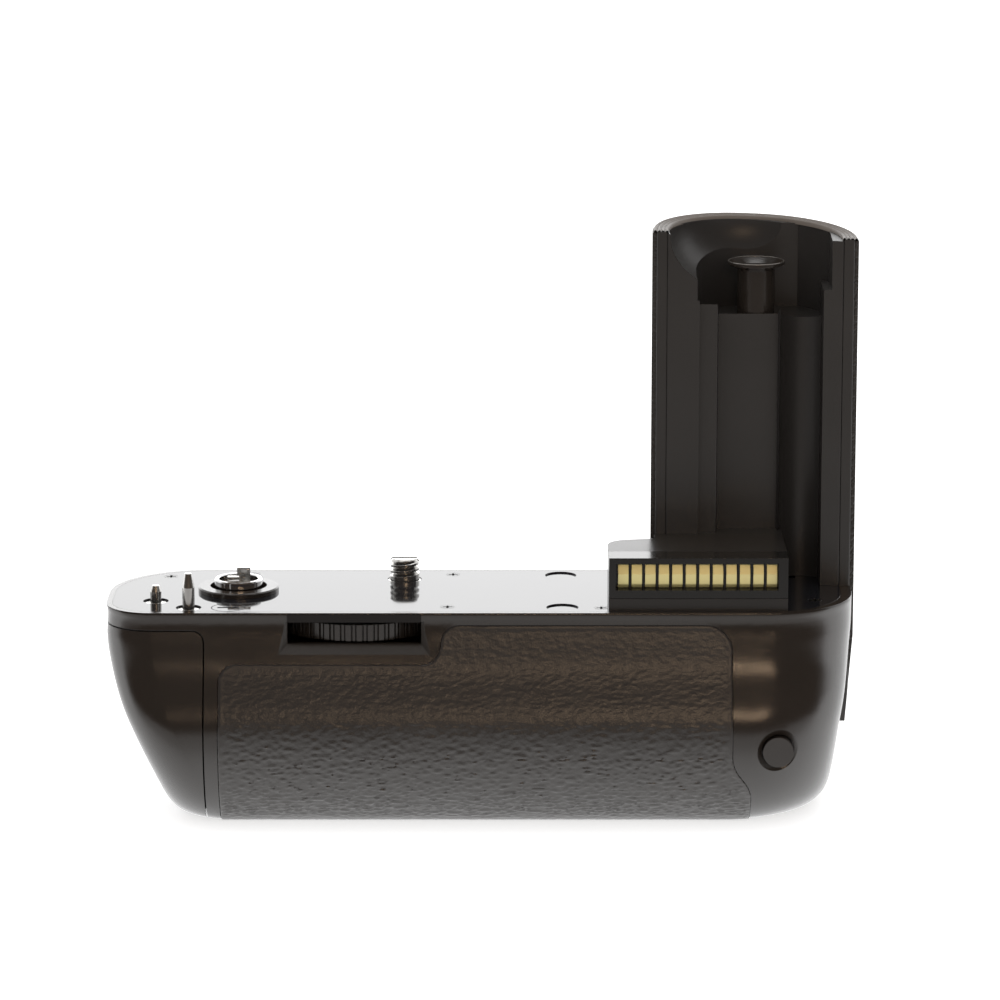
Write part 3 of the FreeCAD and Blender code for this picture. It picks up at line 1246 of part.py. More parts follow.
def drawer():
    blank = rounded_plate("drawer_blank", "drawer_left", "drawer_right", "drawer_rear", "drawer_front", "1.5",
                          "drawer_bottom", "drawer_top")
    half_pitch = number("cell_pitch") / 2
    reach = number("cell_radius") - 1.6
    tools = []
    cells = []
    for row, (side, level) in enumerate(ROWS):
        y = "drawer_y %s %s" % (side, half_pitch)
        z = "drawer_z %s %s" % (level, half_pitch)
        for half, (left, right) in enumerate(HALVES):
            title = "%d_%d" % (row, half)
            tools.append(rod_x("channel_" + title, left, right, y, z, "cell_radius + channel_play"))
            rear = "drawer_rear - 1" if side == "-" else y
            front = y if side == "-" else "drawer_front + 1"
            tools.append(slab("channel_mouth_" + title, left + " + 2", right + " - 2", rear, front,
                              "%s - %s" % (z, reach), "%s + %s" % (z, reach)))
            nub_right = (row + half) % 2 == 0
            can_left = left if nub_right else left + " + nub_height"
            can_right = right + " - nub_height" if nub_right else right
            can = rod_x("can_" + title, can_left, can_right, y, z, "cell_radius")
            nub_left = right + " - nub_height" if nub_right else left
            nub_end = right if nub_right else left + " + nub_height"
            nub = rod_x("nub_" + title, nub_left, nub_end, y, z, "nub_radius")
            name = "battery_cell_%d" % (len(cells) + 1)
            cells.append(node(fuse(name, can, nub), name))
    plates = [("left", "cells_left - strip_thickness", "cells_left"),
              ("middle", "cells_middle", "cells_second"),
              ("right", "cells_right", "cells_right + strip_thickness")]
    for title, left, right in plates:
        strips = []
        for side in ("-", "+"):
            y = "drawer_y %s %s" % (side, half_pitch)
            place_of = (left, right, y + " - 5", y + " + 5", "drawer_z - 12.5", "drawer_z + 12.5")
            suffix = "rear" if side == "-" else "front"
            strips.append(slab("strip_%s_%s" % (title, suffix), *place_of))
            tools.append(slab("strip_space_%s_%s" % (title, suffix), *place_of))
        node(group("contact_strips_" + title, *strips), "contact_strips_" + title)
    keeper = slab("keeper_groove", "drawer_left - 1", "drawer_right + 1", "drawer_y - lip_half - 0.3",
                  "drawer_y + lip_half + 0.3", "tunnel_top - lip_depth - drawer_gap", "drawer_top + 1")
    socket = slab("socket_groove", "drawer_left - 1", "drawer_right + 1", "drawer_y - tripod_radius - 0.3",
                  "drawer_y + tripod_radius + 0.3", "drawer_bottom - 1", "tripod_top + drawer_gap")
    pads = []
    for index, shift in enumerate(("5", "-5")):
        spot = ("drawer_right - 0.5", "drawer_right", "drawer_y", "drawer_z + %s" % shift, "2.2")
        pads.append(rod_x("power_pad_%d" % index, *spot))
        tools.append(rod_x("power_pad_seat_%d" % index, *spot))
    node(group("power_pads", *pads), "power_pads")
    return node(cut("magazine_frame", blank, keeper, socket, *tools), "magazine_frame")


def end_cap():
    """The left end of the base, which is the end of the drawer, with the lock in it."""
    outer = form()
    zone = feature("cap_space", cap_prism(number("drawer_left"), number("-cap_band - seam_gap"),
                                          number("cap_corner - seam_gap")))
    inner = form("-shell_wall")
    room = slab("cap_room", "body_left - 5", "drawer_left - 2", "rear_edge - 20", "front_edge + 20",
                "tunnel_bottom", "-cap_band - 2.5")
    boss = rod_x("lock_boss", "body_left - 5", "lock_floor + 2", "drawer_y", "lock_z", "lock_radius + 2.3")
    hollow = cut("cap_hollow", common("cap_inside", inner, room), boss)
    recess = rod_x("lock_recess", "body_left - 5", "lock_floor", "drawer_y", "lock_z",
                   "lock_radius + seam_gap")
    shaft = rod_x("lock_shaft_bore", "lock_floor - 1", "lock_floor + 3", "drawer_y", "lock_z",
                  "lock_shaft + running_play")
    notch = slab("keeper_notch", "drawer_left - 3", "drawer_left + 1", "drawer_y - lip_half - 0.4",
                 "drawer_y + lip_half + 0.4", "tunnel_top - lip_depth - drawer_gap", "tray_bottom + 0.3")
    cap = cut("end_cap", common("cap_blank", outer, zone), hollow, recess, shaft, notch)
    return node(cap, "end_cap")


def lock_key():
    """The key of the drawer's lock, and the cam that its shank carries behind the end cap."""
    disc = rod_x("lock_disc", "lock_floor - 1.4", "lock_floor - 0.2", "drawer_y", "lock_z", "lock_radius")
    bar = slab("lock_bar", "lock_face", "lock_floor - 1.3", "drawer_y - 7.4", "drawer_y + 7.4",
               "lock_z - 1.3", "lock_z + 1.3")
    near, far = "lip_left + lip_thickness + 0.3", "lip_left + lip_thickness + 1.7"
    shank = rod_x("lock_shank", "lock_floor - 0.2", near, "drawer_y", "lock_z", "lock_shaft")
    node(fuse("lock_key", disc, bar, shank), "lock_key")
    hub = rod_x("lock_cam_hub", near, far, "drawer_y", "lock_z", "lock_shaft")
    lobe = slab("lock_lobe", near, far, "drawer_y", "drawer_y + lobe_reach", "lock_z - 1.8", "lock_z + 1.8")
    return node(fuse("lock_cam", hub, lobe), "lock_cam")


for make in (base_shell, lock_keeper, top_plate, plate_screws, pins, stowage_plug, thumbwheel,
             attachment_screw, drive_coupling, drive_train, connector, upright_grip, grip_pad, boards,
             rear_button, release, control_dial, power_switch, tripod_socket, drawer, end_cap, lock_key):
    make()

doc.recompute()

failed = [thing.Label for thing in doc.Objects if "Invalid" in thing.State or "Error" in thing.State]
if failed:
    raise SystemExit("these objects failed: " + ", ".join(failed))
total = 0.0
for piece in NODES:
    shape = piece.Shape
    if shape.isNull() or not shape.isValid() or not shape.Solids:
        raise SystemExit("this sub-part has no sound solid: " + piece.Label)
    shape.exportStep("parts/%s.step" % piece.Label)
    total += shape.Volume
    print("%-24s solids %2d  volume %9.1f" % (piece.Label, len(shape.Solids), shape.Volume))
print("nodes", len(NODES), "volume", round(total, 1))
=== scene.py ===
# %% [markdown]
# # A camera battery grip, dressed for its picture
# The grip is a wide moulded base with an upright hand grip at its right end. Its pieces already exist at
# their real size. This lesson gives them their surfaces: satin and glossy black plastic, grained rubber,
# leatherette, steel, chrome and gold. First come the pieces themselves, loaded as a fixed frame.

# %% The fixed frame
import json
import math

import bmesh
import bpy
import numpy as np
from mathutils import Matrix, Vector, noise
from mathutils.bvhtree import BVHTree
from mathutils.kdtree import KDTree


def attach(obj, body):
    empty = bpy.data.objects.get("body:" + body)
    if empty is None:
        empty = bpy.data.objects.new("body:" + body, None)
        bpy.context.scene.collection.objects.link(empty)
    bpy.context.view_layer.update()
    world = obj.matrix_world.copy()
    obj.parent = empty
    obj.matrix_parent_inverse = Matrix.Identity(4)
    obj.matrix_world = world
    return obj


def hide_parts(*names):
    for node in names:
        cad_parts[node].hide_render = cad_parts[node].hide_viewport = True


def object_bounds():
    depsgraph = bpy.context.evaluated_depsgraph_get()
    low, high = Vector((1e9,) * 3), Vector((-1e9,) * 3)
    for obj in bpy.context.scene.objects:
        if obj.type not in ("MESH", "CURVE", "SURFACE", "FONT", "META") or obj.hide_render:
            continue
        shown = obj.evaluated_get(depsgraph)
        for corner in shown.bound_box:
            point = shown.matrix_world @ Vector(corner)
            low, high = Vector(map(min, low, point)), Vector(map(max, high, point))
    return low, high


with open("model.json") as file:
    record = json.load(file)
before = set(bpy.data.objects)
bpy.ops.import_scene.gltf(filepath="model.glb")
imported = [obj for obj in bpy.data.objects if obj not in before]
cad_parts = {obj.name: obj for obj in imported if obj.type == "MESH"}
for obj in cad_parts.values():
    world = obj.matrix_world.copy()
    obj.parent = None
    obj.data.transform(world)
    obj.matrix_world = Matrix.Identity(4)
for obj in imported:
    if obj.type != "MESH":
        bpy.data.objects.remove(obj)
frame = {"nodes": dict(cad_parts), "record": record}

MM = 0.001
cad_low, cad_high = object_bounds()
print("the solids span", [round(v / MM, 1) for v in cad_high - cad_low], "mm")

# %% [markdown]
# ## The camera
# The photograph was taken with a long lens, a metre away and 12.3 degrees above the table, square to the
# back of the grip. A pinhole camera could also be found by trial, but two known lengths settle it: the screw
# is 6.35 mm thick and the base is 159 mm long.

# %% Camera
FRAME_PIXELS = 1000
FOCAL_PIXELS = 4700.0
SENSOR = 36.0
DISTANCE = 1.0
TILT = math.radians(12.3)
AIM = Vector((20.56, -11.15, 19.87)) * MM

camera_data = bpy.data.cameras.new("camera")
camera_data.sensor_width = SENSOR
camera_data.lens = SENSOR * FOCAL_PIXELS / FRAME_PIXELS
camera_data.clip_start = 0.05
camera_data.clip_end = 20.0
camera = bpy.data.objects.new("camera", camera_data)
bpy.context.scene.collection.objects.link(camera)
camera.location = AIM + Vector((0, -math.cos(TILT), math.sin(TILT))) * DISTANCE
camera.rotation_euler = (math.pi / 2 - TILT, 0, 0)
bpy.context.scene.camera = camera
print("lens of", round(camera_data.lens, 1), "mm at", [round(v, 3) for v in camera.location])

# %% [markdown]
# ## Light
# The grip stood on a white sweep in a room that was dark on the photographer's side. Black plastic shows
# little colour of its own, so what it mirrors makes the picture: the bright sweep below and behind, the dark
# room in front, and a warm lamp behind the camera that the bulging back mirrors twice, as two glints. A world
# that is white to the camera and directional to mirrors gives all of this without flooding the object.

# %% A short way to make nodes
def fresh_nodes(material):
    """An emptied node tree, with a short way to add and join nodes."""
    material.use_nodes = True
    tree = material.node_tree
    tree.nodes.clear()

    def add(kind, **settings):
        made = tree.nodes.new("ShaderNode" + kind)
        for name, value in settings.items():
            setattr(made, name, value)
        return made

    def join(source, target):
        tree.links.new(source, target)

    return add, join


# %% World
ROOM_DARK = (0.060, 0.047, 0.038, 1.0)
SWEEP_WHITE = (1.0, 1.0, 1.0, 1.0)
FILL = 0.75

bpy.context.scene.view_settings.view_transform = "Standard"
world = bpy.data.worlds.new("studio")
bpy.context.scene.world = world
add, join = fresh_nodes(world)
direction = add("TexCoord")
axes = add("SeparateXYZ")
join(direction.outputs["Generated"], axes.inputs[0])
behind = add("MapRange", interpolation_type="SMOOTHSTEP")
behind.inputs["From Min"].default_value = -0.15
behind.inputs["From Max"].default_value = 0.25
join(axes.outputs["Y"], behind.inputs["Value"])
room = add("MixRGB")
room.inputs["Color1"].default_value = ROOM_DARK
room.inputs["Color2"].default_value = SWEEP_WHITE
join(behind.outputs[0], room.inputs["Fac"])
rays = add("LightPath")
shown = add("Math", operation="MAXIMUM")
join(rays.outputs["Is Glossy Ray"], shown.inputs[0])
join(rays.outputs["Is Transmission Ray"], shown.inputs[1])
soft = add("Background")
soft.inputs["Color"].default_value = SWEEP_WHITE
soft.inputs["Strength"].default_value = FILL
mirrored = add("Background")
join(room.outputs[0], mirrored.inputs["Color"])
white = add("Background")
white.inputs["Color"].default_value = SWEEP_WHITE
first = add("MixShader")
join(shown.outputs[0], first.inputs[0])
join(soft.outputs[0], first.inputs[1])
join(mirrored.outputs[0], first.inputs[2])
second = add("MixShader")
join(rays.outputs["Is Camera Ray"], second.inputs[0])
join(first.outputs[0], second.inputs[1])
join(white.outputs[0], second.inputs[2])
output = add("OutputWorld")
join(second.outputs[0], output.inputs["Surface"])


# %% Lamps
def soft_lamp(name, place, aim, wide, tall, radiance, colour):
    """A softbox: a rectangle that faces its aim, as bright per area as its radiance says."""
    data = bpy.data.lights.new(name, "AREA")
    data.shape = "RECTANGLE"
    data.size = wide
    data.size_y = tall
    data.color = colour
    data.energy = radiance * math.pi * wide * tall
    lamp = bpy.data.objects.new(name, data)
    bpy.context.scene.collection.objects.link(lamp)
    lamp.location = place
    lamp.rotation_euler = (Vector(aim) - Vector(place)).to_track_quat("-Z", "Y").to_euler()
    lamp.visible_camera = False
    return lamp


CENTRE = (0.02, -0.01, -0.01)
WARM = (1.0, 0.70, 0.45)
soft_lamp("back_box", (0.02, 1.5, 0.40), (0.02, 0.0, 0.0), 2.6, 0.75, 1.55, (1.0, 1.0, 1.0))
soft_lamp("warm_box", (0.20, -1.10, 0.39), CENTRE, 0.44, 0.022, 22.0, WARM)
soft_lamp("top_box", (0.0, 0.1, 1.2), CENTRE, 1.2, 0.8, 0.8, (1.0, 0.99, 0.97))
print("three softboxes stand behind, in front of and above the grip")

# %% [markdown]
# ## The sweep
# A white table that fades into the room in front of the grip. Mirrors see it bright near the object and dark
# far in front, which draws the soft horizon along the lower back. It stays a plain diffuse floor as well, so
# that the grip keeps its contact shadow.

# %% Floor
FLOOR_SIZE = 6.0
FLOOR_GAP = 0.05

floor_mesh = bpy.data.meshes.new("floor")
half = FLOOR_SIZE / 2
corners = [(-half, -half, 0), (half, -half, 0), (half, half, 0), (-half, half, 0)]
floor_mesh.from_pydata(corners, [], [(0, 1, 2, 3)])
floor = bpy.data.objects.new("floor", floor_mesh)
bpy.context.scene.collection.objects.link(floor)
floor.location.z = cad_low.z - FLOOR_GAP * MM
print("the floor lies at", round(floor.location.z / MM, 2), "mm")

# %% [markdown]
# The table is a list of places in front of and under the grip, each with how bright a mirror sees it there.
# The camera sees paper with a little light of its own, which keeps the background white.

# %% What mirrors and the camera see of the floor
TABLE = [(-0.33, 0.05), (-0.28, 0.42), (-0.11, 0.50), (-0.078, 0.62), (-0.05, 1.10), (-0.03, 1.45)]
PAPER = (0.9, 0.9, 0.9, 1.0)
PAPER_GLOW = 0.62

floor_look = bpy.data.materials.new("white_sweep")
add, join = fresh_nodes(floor_look)
spot = add("NewGeometry")
axes = add("SeparateXYZ")
join(spot.outputs["Position"], axes.inputs[0])
near = add("MapRange")
near.inputs["From Min"].default_value = TABLE[0][0]
near.inputs["From Max"].default_value = TABLE[-1][0]
join(axes.outputs["Y"], near.inputs["Value"])
level = add("FloatCurve")
curve = level.mapping.curves[0]
reach, brightest = TABLE[-1][0] - TABLE[0][0], TABLE[-1][1]
marks = [((y - TABLE[0][0]) / reach, shine / brightest) for y, shine in TABLE]
for mark in marks[1:-1]:
    curve.points.new(*mark)
curve.points[0].location = marks[0]
curve.points[len(marks) - 1].location = marks[-1]
for point in curve.points:
    point.handle_type = "VECTOR"
level.mapping.update()
join(near.outputs[0], level.inputs["Value"])
shade = add("MixRGB")
shade.inputs["Color1"].default_value = ROOM_DARK
shade.inputs["Color2"].default_value = SWEEP_WHITE
join(level.outputs[0], shade.inputs["Fac"])
mirrored = add("Emission")
mirrored.inputs["Strength"].default_value = brightest
join(shade.outputs[0], mirrored.inputs["Color"])
paper = add("BsdfDiffuse")
paper.inputs["Color"].default_value = PAPER
white = add("Emission")
white.inputs["Strength"].default_value = PAPER_GLOW
seen = add("AddShader")
join(paper.outputs[0], seen.inputs[0])
join(white.outputs[0], seen.inputs[1])
rays = add("LightPath")
first = add("MixShader")
join(rays.outputs["Is Camera Ray"], first.inputs[0])
join(paper.outputs[0], first.inputs[1])
join(seen.outputs[0], first.inputs[2])
shown = add("Math", operation="MAXIMUM")
join(rays.outputs["Is Glossy Ray"], shown.inputs[0])
join(rays.outputs["Is Transmission Ray"], shown.inputs[1])
second = add("MixShader")
join(shown.outputs[0], second.inputs[0])
join(first.outputs[0], second.inputs[1])
join(mirrored.outputs[0], second.inputs[2])
output = add("OutputMaterial")
join(second.outputs[0], output.inputs["Surface"])
floor_mesh.materials.append(floor_look)
print("the floor's brightness has", len(marks), "marks")

# %% [markdown]
# ## Finishes
# Each finish is one small function or a call of one. Moulded plastic has a fine sparkle of pits that the
# mould leaves, so every black here gets a speckled bump and a roughness that wanders a little. Colours could
# come from pictures, but formulas stay sharp at any distance.


# %% One maker for every finish
CLOUD_SCALE = 60.0
COAT_ROUGH = 0.04
PIT_DEPTH = 0.05
FOLD_DEPTH, FOLD_WIDTH, FOLD_STRENGTH = 0.12, 0.22, 0.9
RIM_LEAN = 0.48


def finish(name, colour, rough, metal=0.0, grain=0.0, grain_size=0.35, wander=0.05, tone=0.15, coat=0.0,
           specular=0.5, edge=0.12, hide=0.0, rim=0.0):
    """A principled surface with grain in its bump, rounded edges, and tone and roughness that vary.

    A hide adds cells of that size in millimetres, and a rim rounds the upper edge over that height.
    """
    made = bpy.data.materials.new(name)
    add, join = fresh_nodes(made)
    surface = add("BsdfPrincipled")
    surface.inputs["Metallic"].default_value = metal
    surface.inputs["Specular IOR Level"].default_value = specular
    if coat:
        surface.inputs["Coat Weight"].default_value = coat
        surface.inputs["Coat Roughness"].default_value = COAT_ROUGH
    place = add("TexCoord")
    cloud = add("TexNoise")
    cloud.inputs["Scale"].default_value = CLOUD_SCALE
    cloud.inputs["Detail"].default_value = 4.0
    join(place.outputs["Object"], cloud.inputs["Vector"])
    dark = [c * (1 - tone) for c in colour] + [1.0]
    light = [min(1.0, c * (1 + tone)) for c in colour] + [1.0]
    tint = add("MixRGB")
    tint.inputs["Color1"].default_value = dark
    tint.inputs["Color2"].default_value = light
    join(cloud.outputs["Fac"], tint.inputs["Fac"])
    join(tint.outputs[0], surface.inputs["Base Color"])
    pits = add("TexNoise")
    pits.inputs["Scale"].default_value = 1.0 / (grain_size * MM)
    pits.inputs["Detail"].default_value = 3.0
    join(place.outputs["Object"], pits.inputs["Vector"])
    roughness = add("MapRange")
    roughness.inputs["To Min"].default_value = max(0.02, rough - wander)
    roughness.inputs["To Max"].default_value = rough + wander
    join(cloud.outputs["Fac"], roughness.inputs["Value"])
    join(roughness.outputs[0], surface.inputs["Roughness"])
    rounded = add("Bevel", samples=6)
    rounded.inputs["Radius"].default_value = edge * MM
    bump = add("Bump")
    bump.inputs["Strength"].default_value = max(grain, 0.02)
    bump.inputs["Distance"].default_value = PIT_DEPTH * MM
    side = rounded.outputs[0]
    if rim:
        parts = add("SeparateXYZ")
        join(place.outputs["Object"], parts.inputs[0])
        near_top = add("MapRange")
        near_top.inputs["From Min"].default_value = -rim * MM
        near_top.inputs["From Max"].default_value = 0.0
        near_top.inputs["To Max"].default_value = RIM_LEAN
        join(parts.outputs["Z"], near_top.inputs["Value"])
        leaning = add("MixRGB")
        leaning.inputs["Color2"].default_value = (0.0, 0.0, 1.0, 1.0)
        join(near_top.outputs[0], leaning.inputs["Fac"])
        join(side, leaning.inputs["Color1"])
        unit = add("VectorMath", operation="NORMALIZE")
        join(leaning.outputs[0], unit.inputs[0])
        side = unit.outputs[0]
    if hide:
        cells = add("TexVoronoi", feature="DISTANCE_TO_EDGE")
        cells.inputs["Scale"].default_value = 1.0 / (hide * MM)
        join(place.outputs["Object"], cells.inputs["Vector"])
        crease = add("MapRange", interpolation_type="SMOOTHSTEP")
        crease.inputs["From Max"].default_value = FOLD_WIDTH
        join(cells.outputs["Distance"], crease.inputs["Value"])
        folds = add("Bump")
        folds.inputs["Strength"].default_value = FOLD_STRENGTH
        folds.inputs["Distance"].default_value = FOLD_DEPTH * MM
        join(side, folds.inputs["Normal"])
        join(crease.outputs[0], folds.inputs["Height"])
        side = folds.outputs[0]
    join(side, bump.inputs["Normal"])
    join(pits.outputs["Fac"], bump.inputs["Height"])
    join(bump.outputs[0], surface.inputs["Normal"])
    output = add("OutputMaterial")
    join(surface.outputs[0], output.inputs["Surface"])
    return made


# %% The finishes of this grip
SHELL_COLOUR = (0.022, 0.017, 0.0135)
LINER_COLOUR = (0.027, 0.024, 0.022)
SHELL_SKIN = {"rough": 0.15, "grain": 0.35, "grain_size": 0.16, "specular": 0.9}
LINER_SKIN = {"rough": 0.38, "grain": 0.3, "specular": 0.8}

FINISHES = {
    "black_plastic": finish("satin_black", SHELL_COLOUR, **SHELL_SKIN),
    "plate_gloss": finish("plate_gloss", (0.012, 0.012, 0.014), 0.07, specular=0.6, grain=0.03),
    "grip_rubber": finish("grip_rubber", (0.028, 0.023, 0.020), 0.30, grain=1.0, grain_size=0.45,
                          specular=0.9),
    "leatherette": finish("leatherette", (0.032, 0.028, 0.025), 0.42, grain=0.6, grain_size=0.25,
                          specular=0.6, edge=0.03, hide=1.2),
    "liner_plastic": finish("liner_satin", LINER_COLOUR, **LINER_SKIN),
    "steel": finish("turned_steel", (0.66, 0.65, 0.63), 0.20, metal=1.0, grain=0.1),
    "black_steel": finish("blackened_steel", (0.10, 0.10, 0.10), 0.28, metal=1.0),
    "chrome": finish("chrome", (0.78, 0.78, 0.78), 0.08, metal=1.0),
    "gold_contact": finish("gold_plate", (1.0, 0.80, 0.36), 0.30, metal=0.45, grain=0.1, specular=1.0),
    "contact_black": finish("contact_black", (0.012, 0.011, 0.010), 0.18, specular=0.5),
    "gear_plastic": finish("gear_acetal", (0.70, 0.69, 0.65), 0.40),
    "circuit_board": finish("solder_mask", (0.03, 0.16, 0.08), 0.30),
    "cell_sleeve": finish("cell_sleeve", (0.45, 0.46, 0.48), 0.30, metal=0.8),
    "frame_plastic": finish("frame_plastic", (0.040, 0.040, 0.040), 0.45, grain=0.2),
}

# %% [markdown]
# Most pieces take the finish of their material. Four have their own: the hand grip's wall has a sharp rim,
# the driver inside the coupling is bare steel, the base has a worn upper edge, and the connector is duller.

# %% Each piece gets its finish
slots = {row["node"]: row["material_slot"] for row in frame["record"]["subparts"]}
looks = {name: FINISHES[slots[name]] for name in frame["nodes"]}
looks["arm_shell"] = finish("liner_rim", LINER_COLOUR, **LINER_SKIN, edge=0.02)
looks["coupling_fork"] = FINISHES["steel"]
looks["base_shell"] = finish("shell_black", SHELL_COLOUR, **SHELL_SKIN, rim=1.4)
looks["connector_housing"] = finish("housing_satin", (0.022, 0.019, 0.017), 0.30, grain=0.3, specular=0.5)
for name, thing in frame["nodes"].items():
    thing.data.materials.clear()
    thing.data.materials.append(looks[name])
print("dressed", len(frame["nodes"]), "pieces with", len(FINISHES), "finishes")

# %% [markdown]
# ## Grained skins
# The rubber pad has a grain that is deep enough to change how it mirrors the room, so it is carved into the
# mesh rather than painted. The skin starts as a copy of its solid, is cut into an even net, and is then
# pushed in by a cellular pattern. Near the outline the carving fades out, so that the seam stays clean. A
# plain noise would look like sand, while cells look like hide. The leatherette has flatter cells, and keeps
# its solid.


# %% A net over a solid
HIDDEN_BELOW = -0.35


def even_net(name, node, spacing, outward):
    """A copy of a solid's outer side as an even net of small squares, with its edges a little rounded."""
    piece = bpy.data.objects.new(name, frame["nodes"][node].data.copy())
    bpy.context.scene.collection.objects.link(piece)
    net = piece.modifiers.new("net", "REMESH")
    net.mode = "VOXEL"
    net.voxel_size = spacing * MM
    graph = bpy.context.evaluated_depsgraph_get()
    fine = bpy.data.meshes.new_from_object(piece.evaluated_get(graph))
    piece.modifiers.clear()
    piece.data = fine
    sheet = bmesh.new()
    sheet.from_mesh(fine)
    hidden = [f for f in sheet.faces if f.normal.dot(outward(f.calc_center_median())) < HIDDEN_BELOW]
    bmesh.ops.delete(sheet, geom=hidden, context="FACES")
    sheet.to_mesh(fine)
    rim = [v.co.copy() for v in sheet.verts if v.is_boundary]
    sheet.free()
    print(name, "has", len(fine.polygons), "faces and", len(rim), "rim points")
    return piece, rim


# %% Hide pattern
BEND_SCALE, BEND_SIZE, BEND_SHARE = 0.35, 1.1, 0.5
BEND_APART = 19.0
CREASE_WIDTH = 0.40
CELL_ROUND = 0.45


def hide_height(place, long, tall, seed):
    """The height of a hide of rounded cells, from 0 in the creases to 1, at a place in millimetres."""
    places = [place * BEND_SCALE + Vector((seed, 0, BEND_APART * turn)) for turn in range(3)]
    bend = Vector([noise.noise(spot) for spot in places]) * BEND_SIZE
    cell = Vector((place.x / long, place.y / tall, place.z / tall)) + bend * BEND_SHARE
    near, _ = noise.voronoi(cell)
    edge = min(1.0, (near[1] - near[0]) / CREASE_WIDTH)
    return edge * edge * (3 - 2 * edge) * (1.0 - CELL_ROUND * near[0])


# %% Carving
CARVE_HIGH, CARVE_LOW = -22.0, -29.0
FADE = 0.6
CALM_HEIGHT, CALM_LEAST = 3.0, 0.15


def carve(piece, rim, margin, depths, long, tall, seed):
    """Pushes a skin in along its creases, deeper further down, and leaves a plain margin along its rim."""
    foot = cad_low.z / MM
    tree = KDTree(len(rim))
    for index, point in enumerate(rim):
        tree.insert(point, index)
    tree.balance()
    mesh = piece.data
    normals = [v.normal.copy() for v in mesh.vertices]
    for vertex, normal in zip(mesh.vertices, normals):
        gap = tree.find(vertex.co)[2] / MM
        weight = min(1.0, max(0.0, (gap - margin) / FADE))
        if weight > 0.0:
            share = min(1.0, max(0.0, (CARVE_HIGH - vertex.co.z / MM) / (CARVE_HIGH - CARVE_LOW)))
            calm = min(1.0, max(CALM_LEAST, (vertex.co.z / MM - foot) / CALM_HEIGHT))
            depth = (depths[0] + (depths[1] - depths[0]) * share) * calm
            height = hide_height(vertex.co / MM, long, tall, seed)
            vertex.co += normal * (height - 1.0) * depth * MM * weight
    mesh.shade_smooth()
    mesh.set_sharp_from_angle(angle=math.radians(50))
    mesh.update()


# %% Rubber pad
PAD_NET = 0.38
PAD_AXIS = Vector((0, -12.0, -20.0)) * MM
PAD_MARGIN = 0.6
PAD_DEPTHS = (0.06, 0.27)
CELL_LONG, CELL_TALL, PAD_SEED = 2.3, 0.85, 3.0


def from_pad_axis(point):
    """The direction away from a line that runs along the middle of the base."""
    return (point - Vector((point.x, PAD_AXIS.y, PAD_AXIS.z))).normalized()


pad, pad_rim = even_net("rubber_pad", "grip_pad", PAD_NET, from_pad_axis)
carve(pad, pad_rim, PAD_MARGIN, PAD_DEPTHS, CELL_LONG, CELL_TALL, PAD_SEED)
pad.data.materials.clear()
pad.data.materials.append(FINISHES["grip_rubber"])
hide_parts("grip_pad")
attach(pad, "base")

# %% [markdown]
# The leatherette is folded over the top edge and pressed into four fine ribs there. The band follows the
# outline of the grip, and takes its height from the solids below it. Its brown is much lighter than the
# leatherette on the sides: painted light on the upward-facing top.

# %% Ribbed band on top of the hand grip
BAND_LEFT, BAND_RIGHT = 53.7, 95.6
BAND_REAR, BAND_FRONT = -6.25, 15.2
BAND_CORNER = 20.0
BAND_OUT, BAND_IN = 0.75, 2.6
BAND_RIBS, BAND_STEPS = 4, 36
BAND_LIFT, BAND_TUCK = -0.02, 0.6
RIB_HEIGHT, RIB_ROUND = 0.36, 0.6


def band_line(inset, count=110):
    """Points of the grip's outline, moved in by the inset, from the left rear corner to the right one."""
    radius = BAND_CORNER - inset
    middle = BAND_FRONT - BAND_CORNER
    points = [(BAND_LEFT + inset, BAND_REAR), (BAND_LEFT + inset, (BAND_REAR + middle) / 2)]
    for index in range(count + 1):
        turn = math.pi * (1 - index / count)
        centre = BAND_LEFT + BAND_CORNER if turn > math.pi / 2 else BAND_RIGHT - BAND_CORNER
        points.append((centre + radius * math.cos(turn), middle + radius * math.sin(turn)))
    points += [(BAND_RIGHT - inset, (BAND_REAR + middle) / 2), (BAND_RIGHT - inset, BAND_REAR)]
    return points


# %% [markdown]
# Rays that fall on the wall of the grip give points of its sloping top, and a plane is fitted through them.

# %% The slope of the grip's top
PROBE_INSET, PROBE_COUNT = 0.8, 40
PROBE_FROM, TOP_ABOVE = 0.1, 0.07

wall_mesh = frame["nodes"]["arm_shell"].data
shell_top = BVHTree.FromPolygons([v.co for v in wall_mesh.vertices], [p.vertices for p in wall_mesh.polygons])
found = []
for x, y in band_line(PROBE_INSET, PROBE_COUNT):
    hit = shell_top.ray_cast(Vector((x * MM, y * MM, PROBE_FROM)), Vector((0, 0, -1)))[0]
    if hit is not None and hit.z > TOP_ABOVE:
        found.append((x, y, hit.z / MM))
found = np.array(found)
plane = np.linalg.lstsq(np.c_[found[:, :2], np.ones(len(found))], found[:, 2], rcond=None)[0]
slope_x, slope_y, level_top = plane
print("the grip's top falls", round(slope_x, 3), "along X and", round(slope_y, 3), "along Y")


def top_height(x, y):
    """The height of the sloping top of the grip at a place, in millimetres."""
    return slope_x * x + slope_y * y + level_top


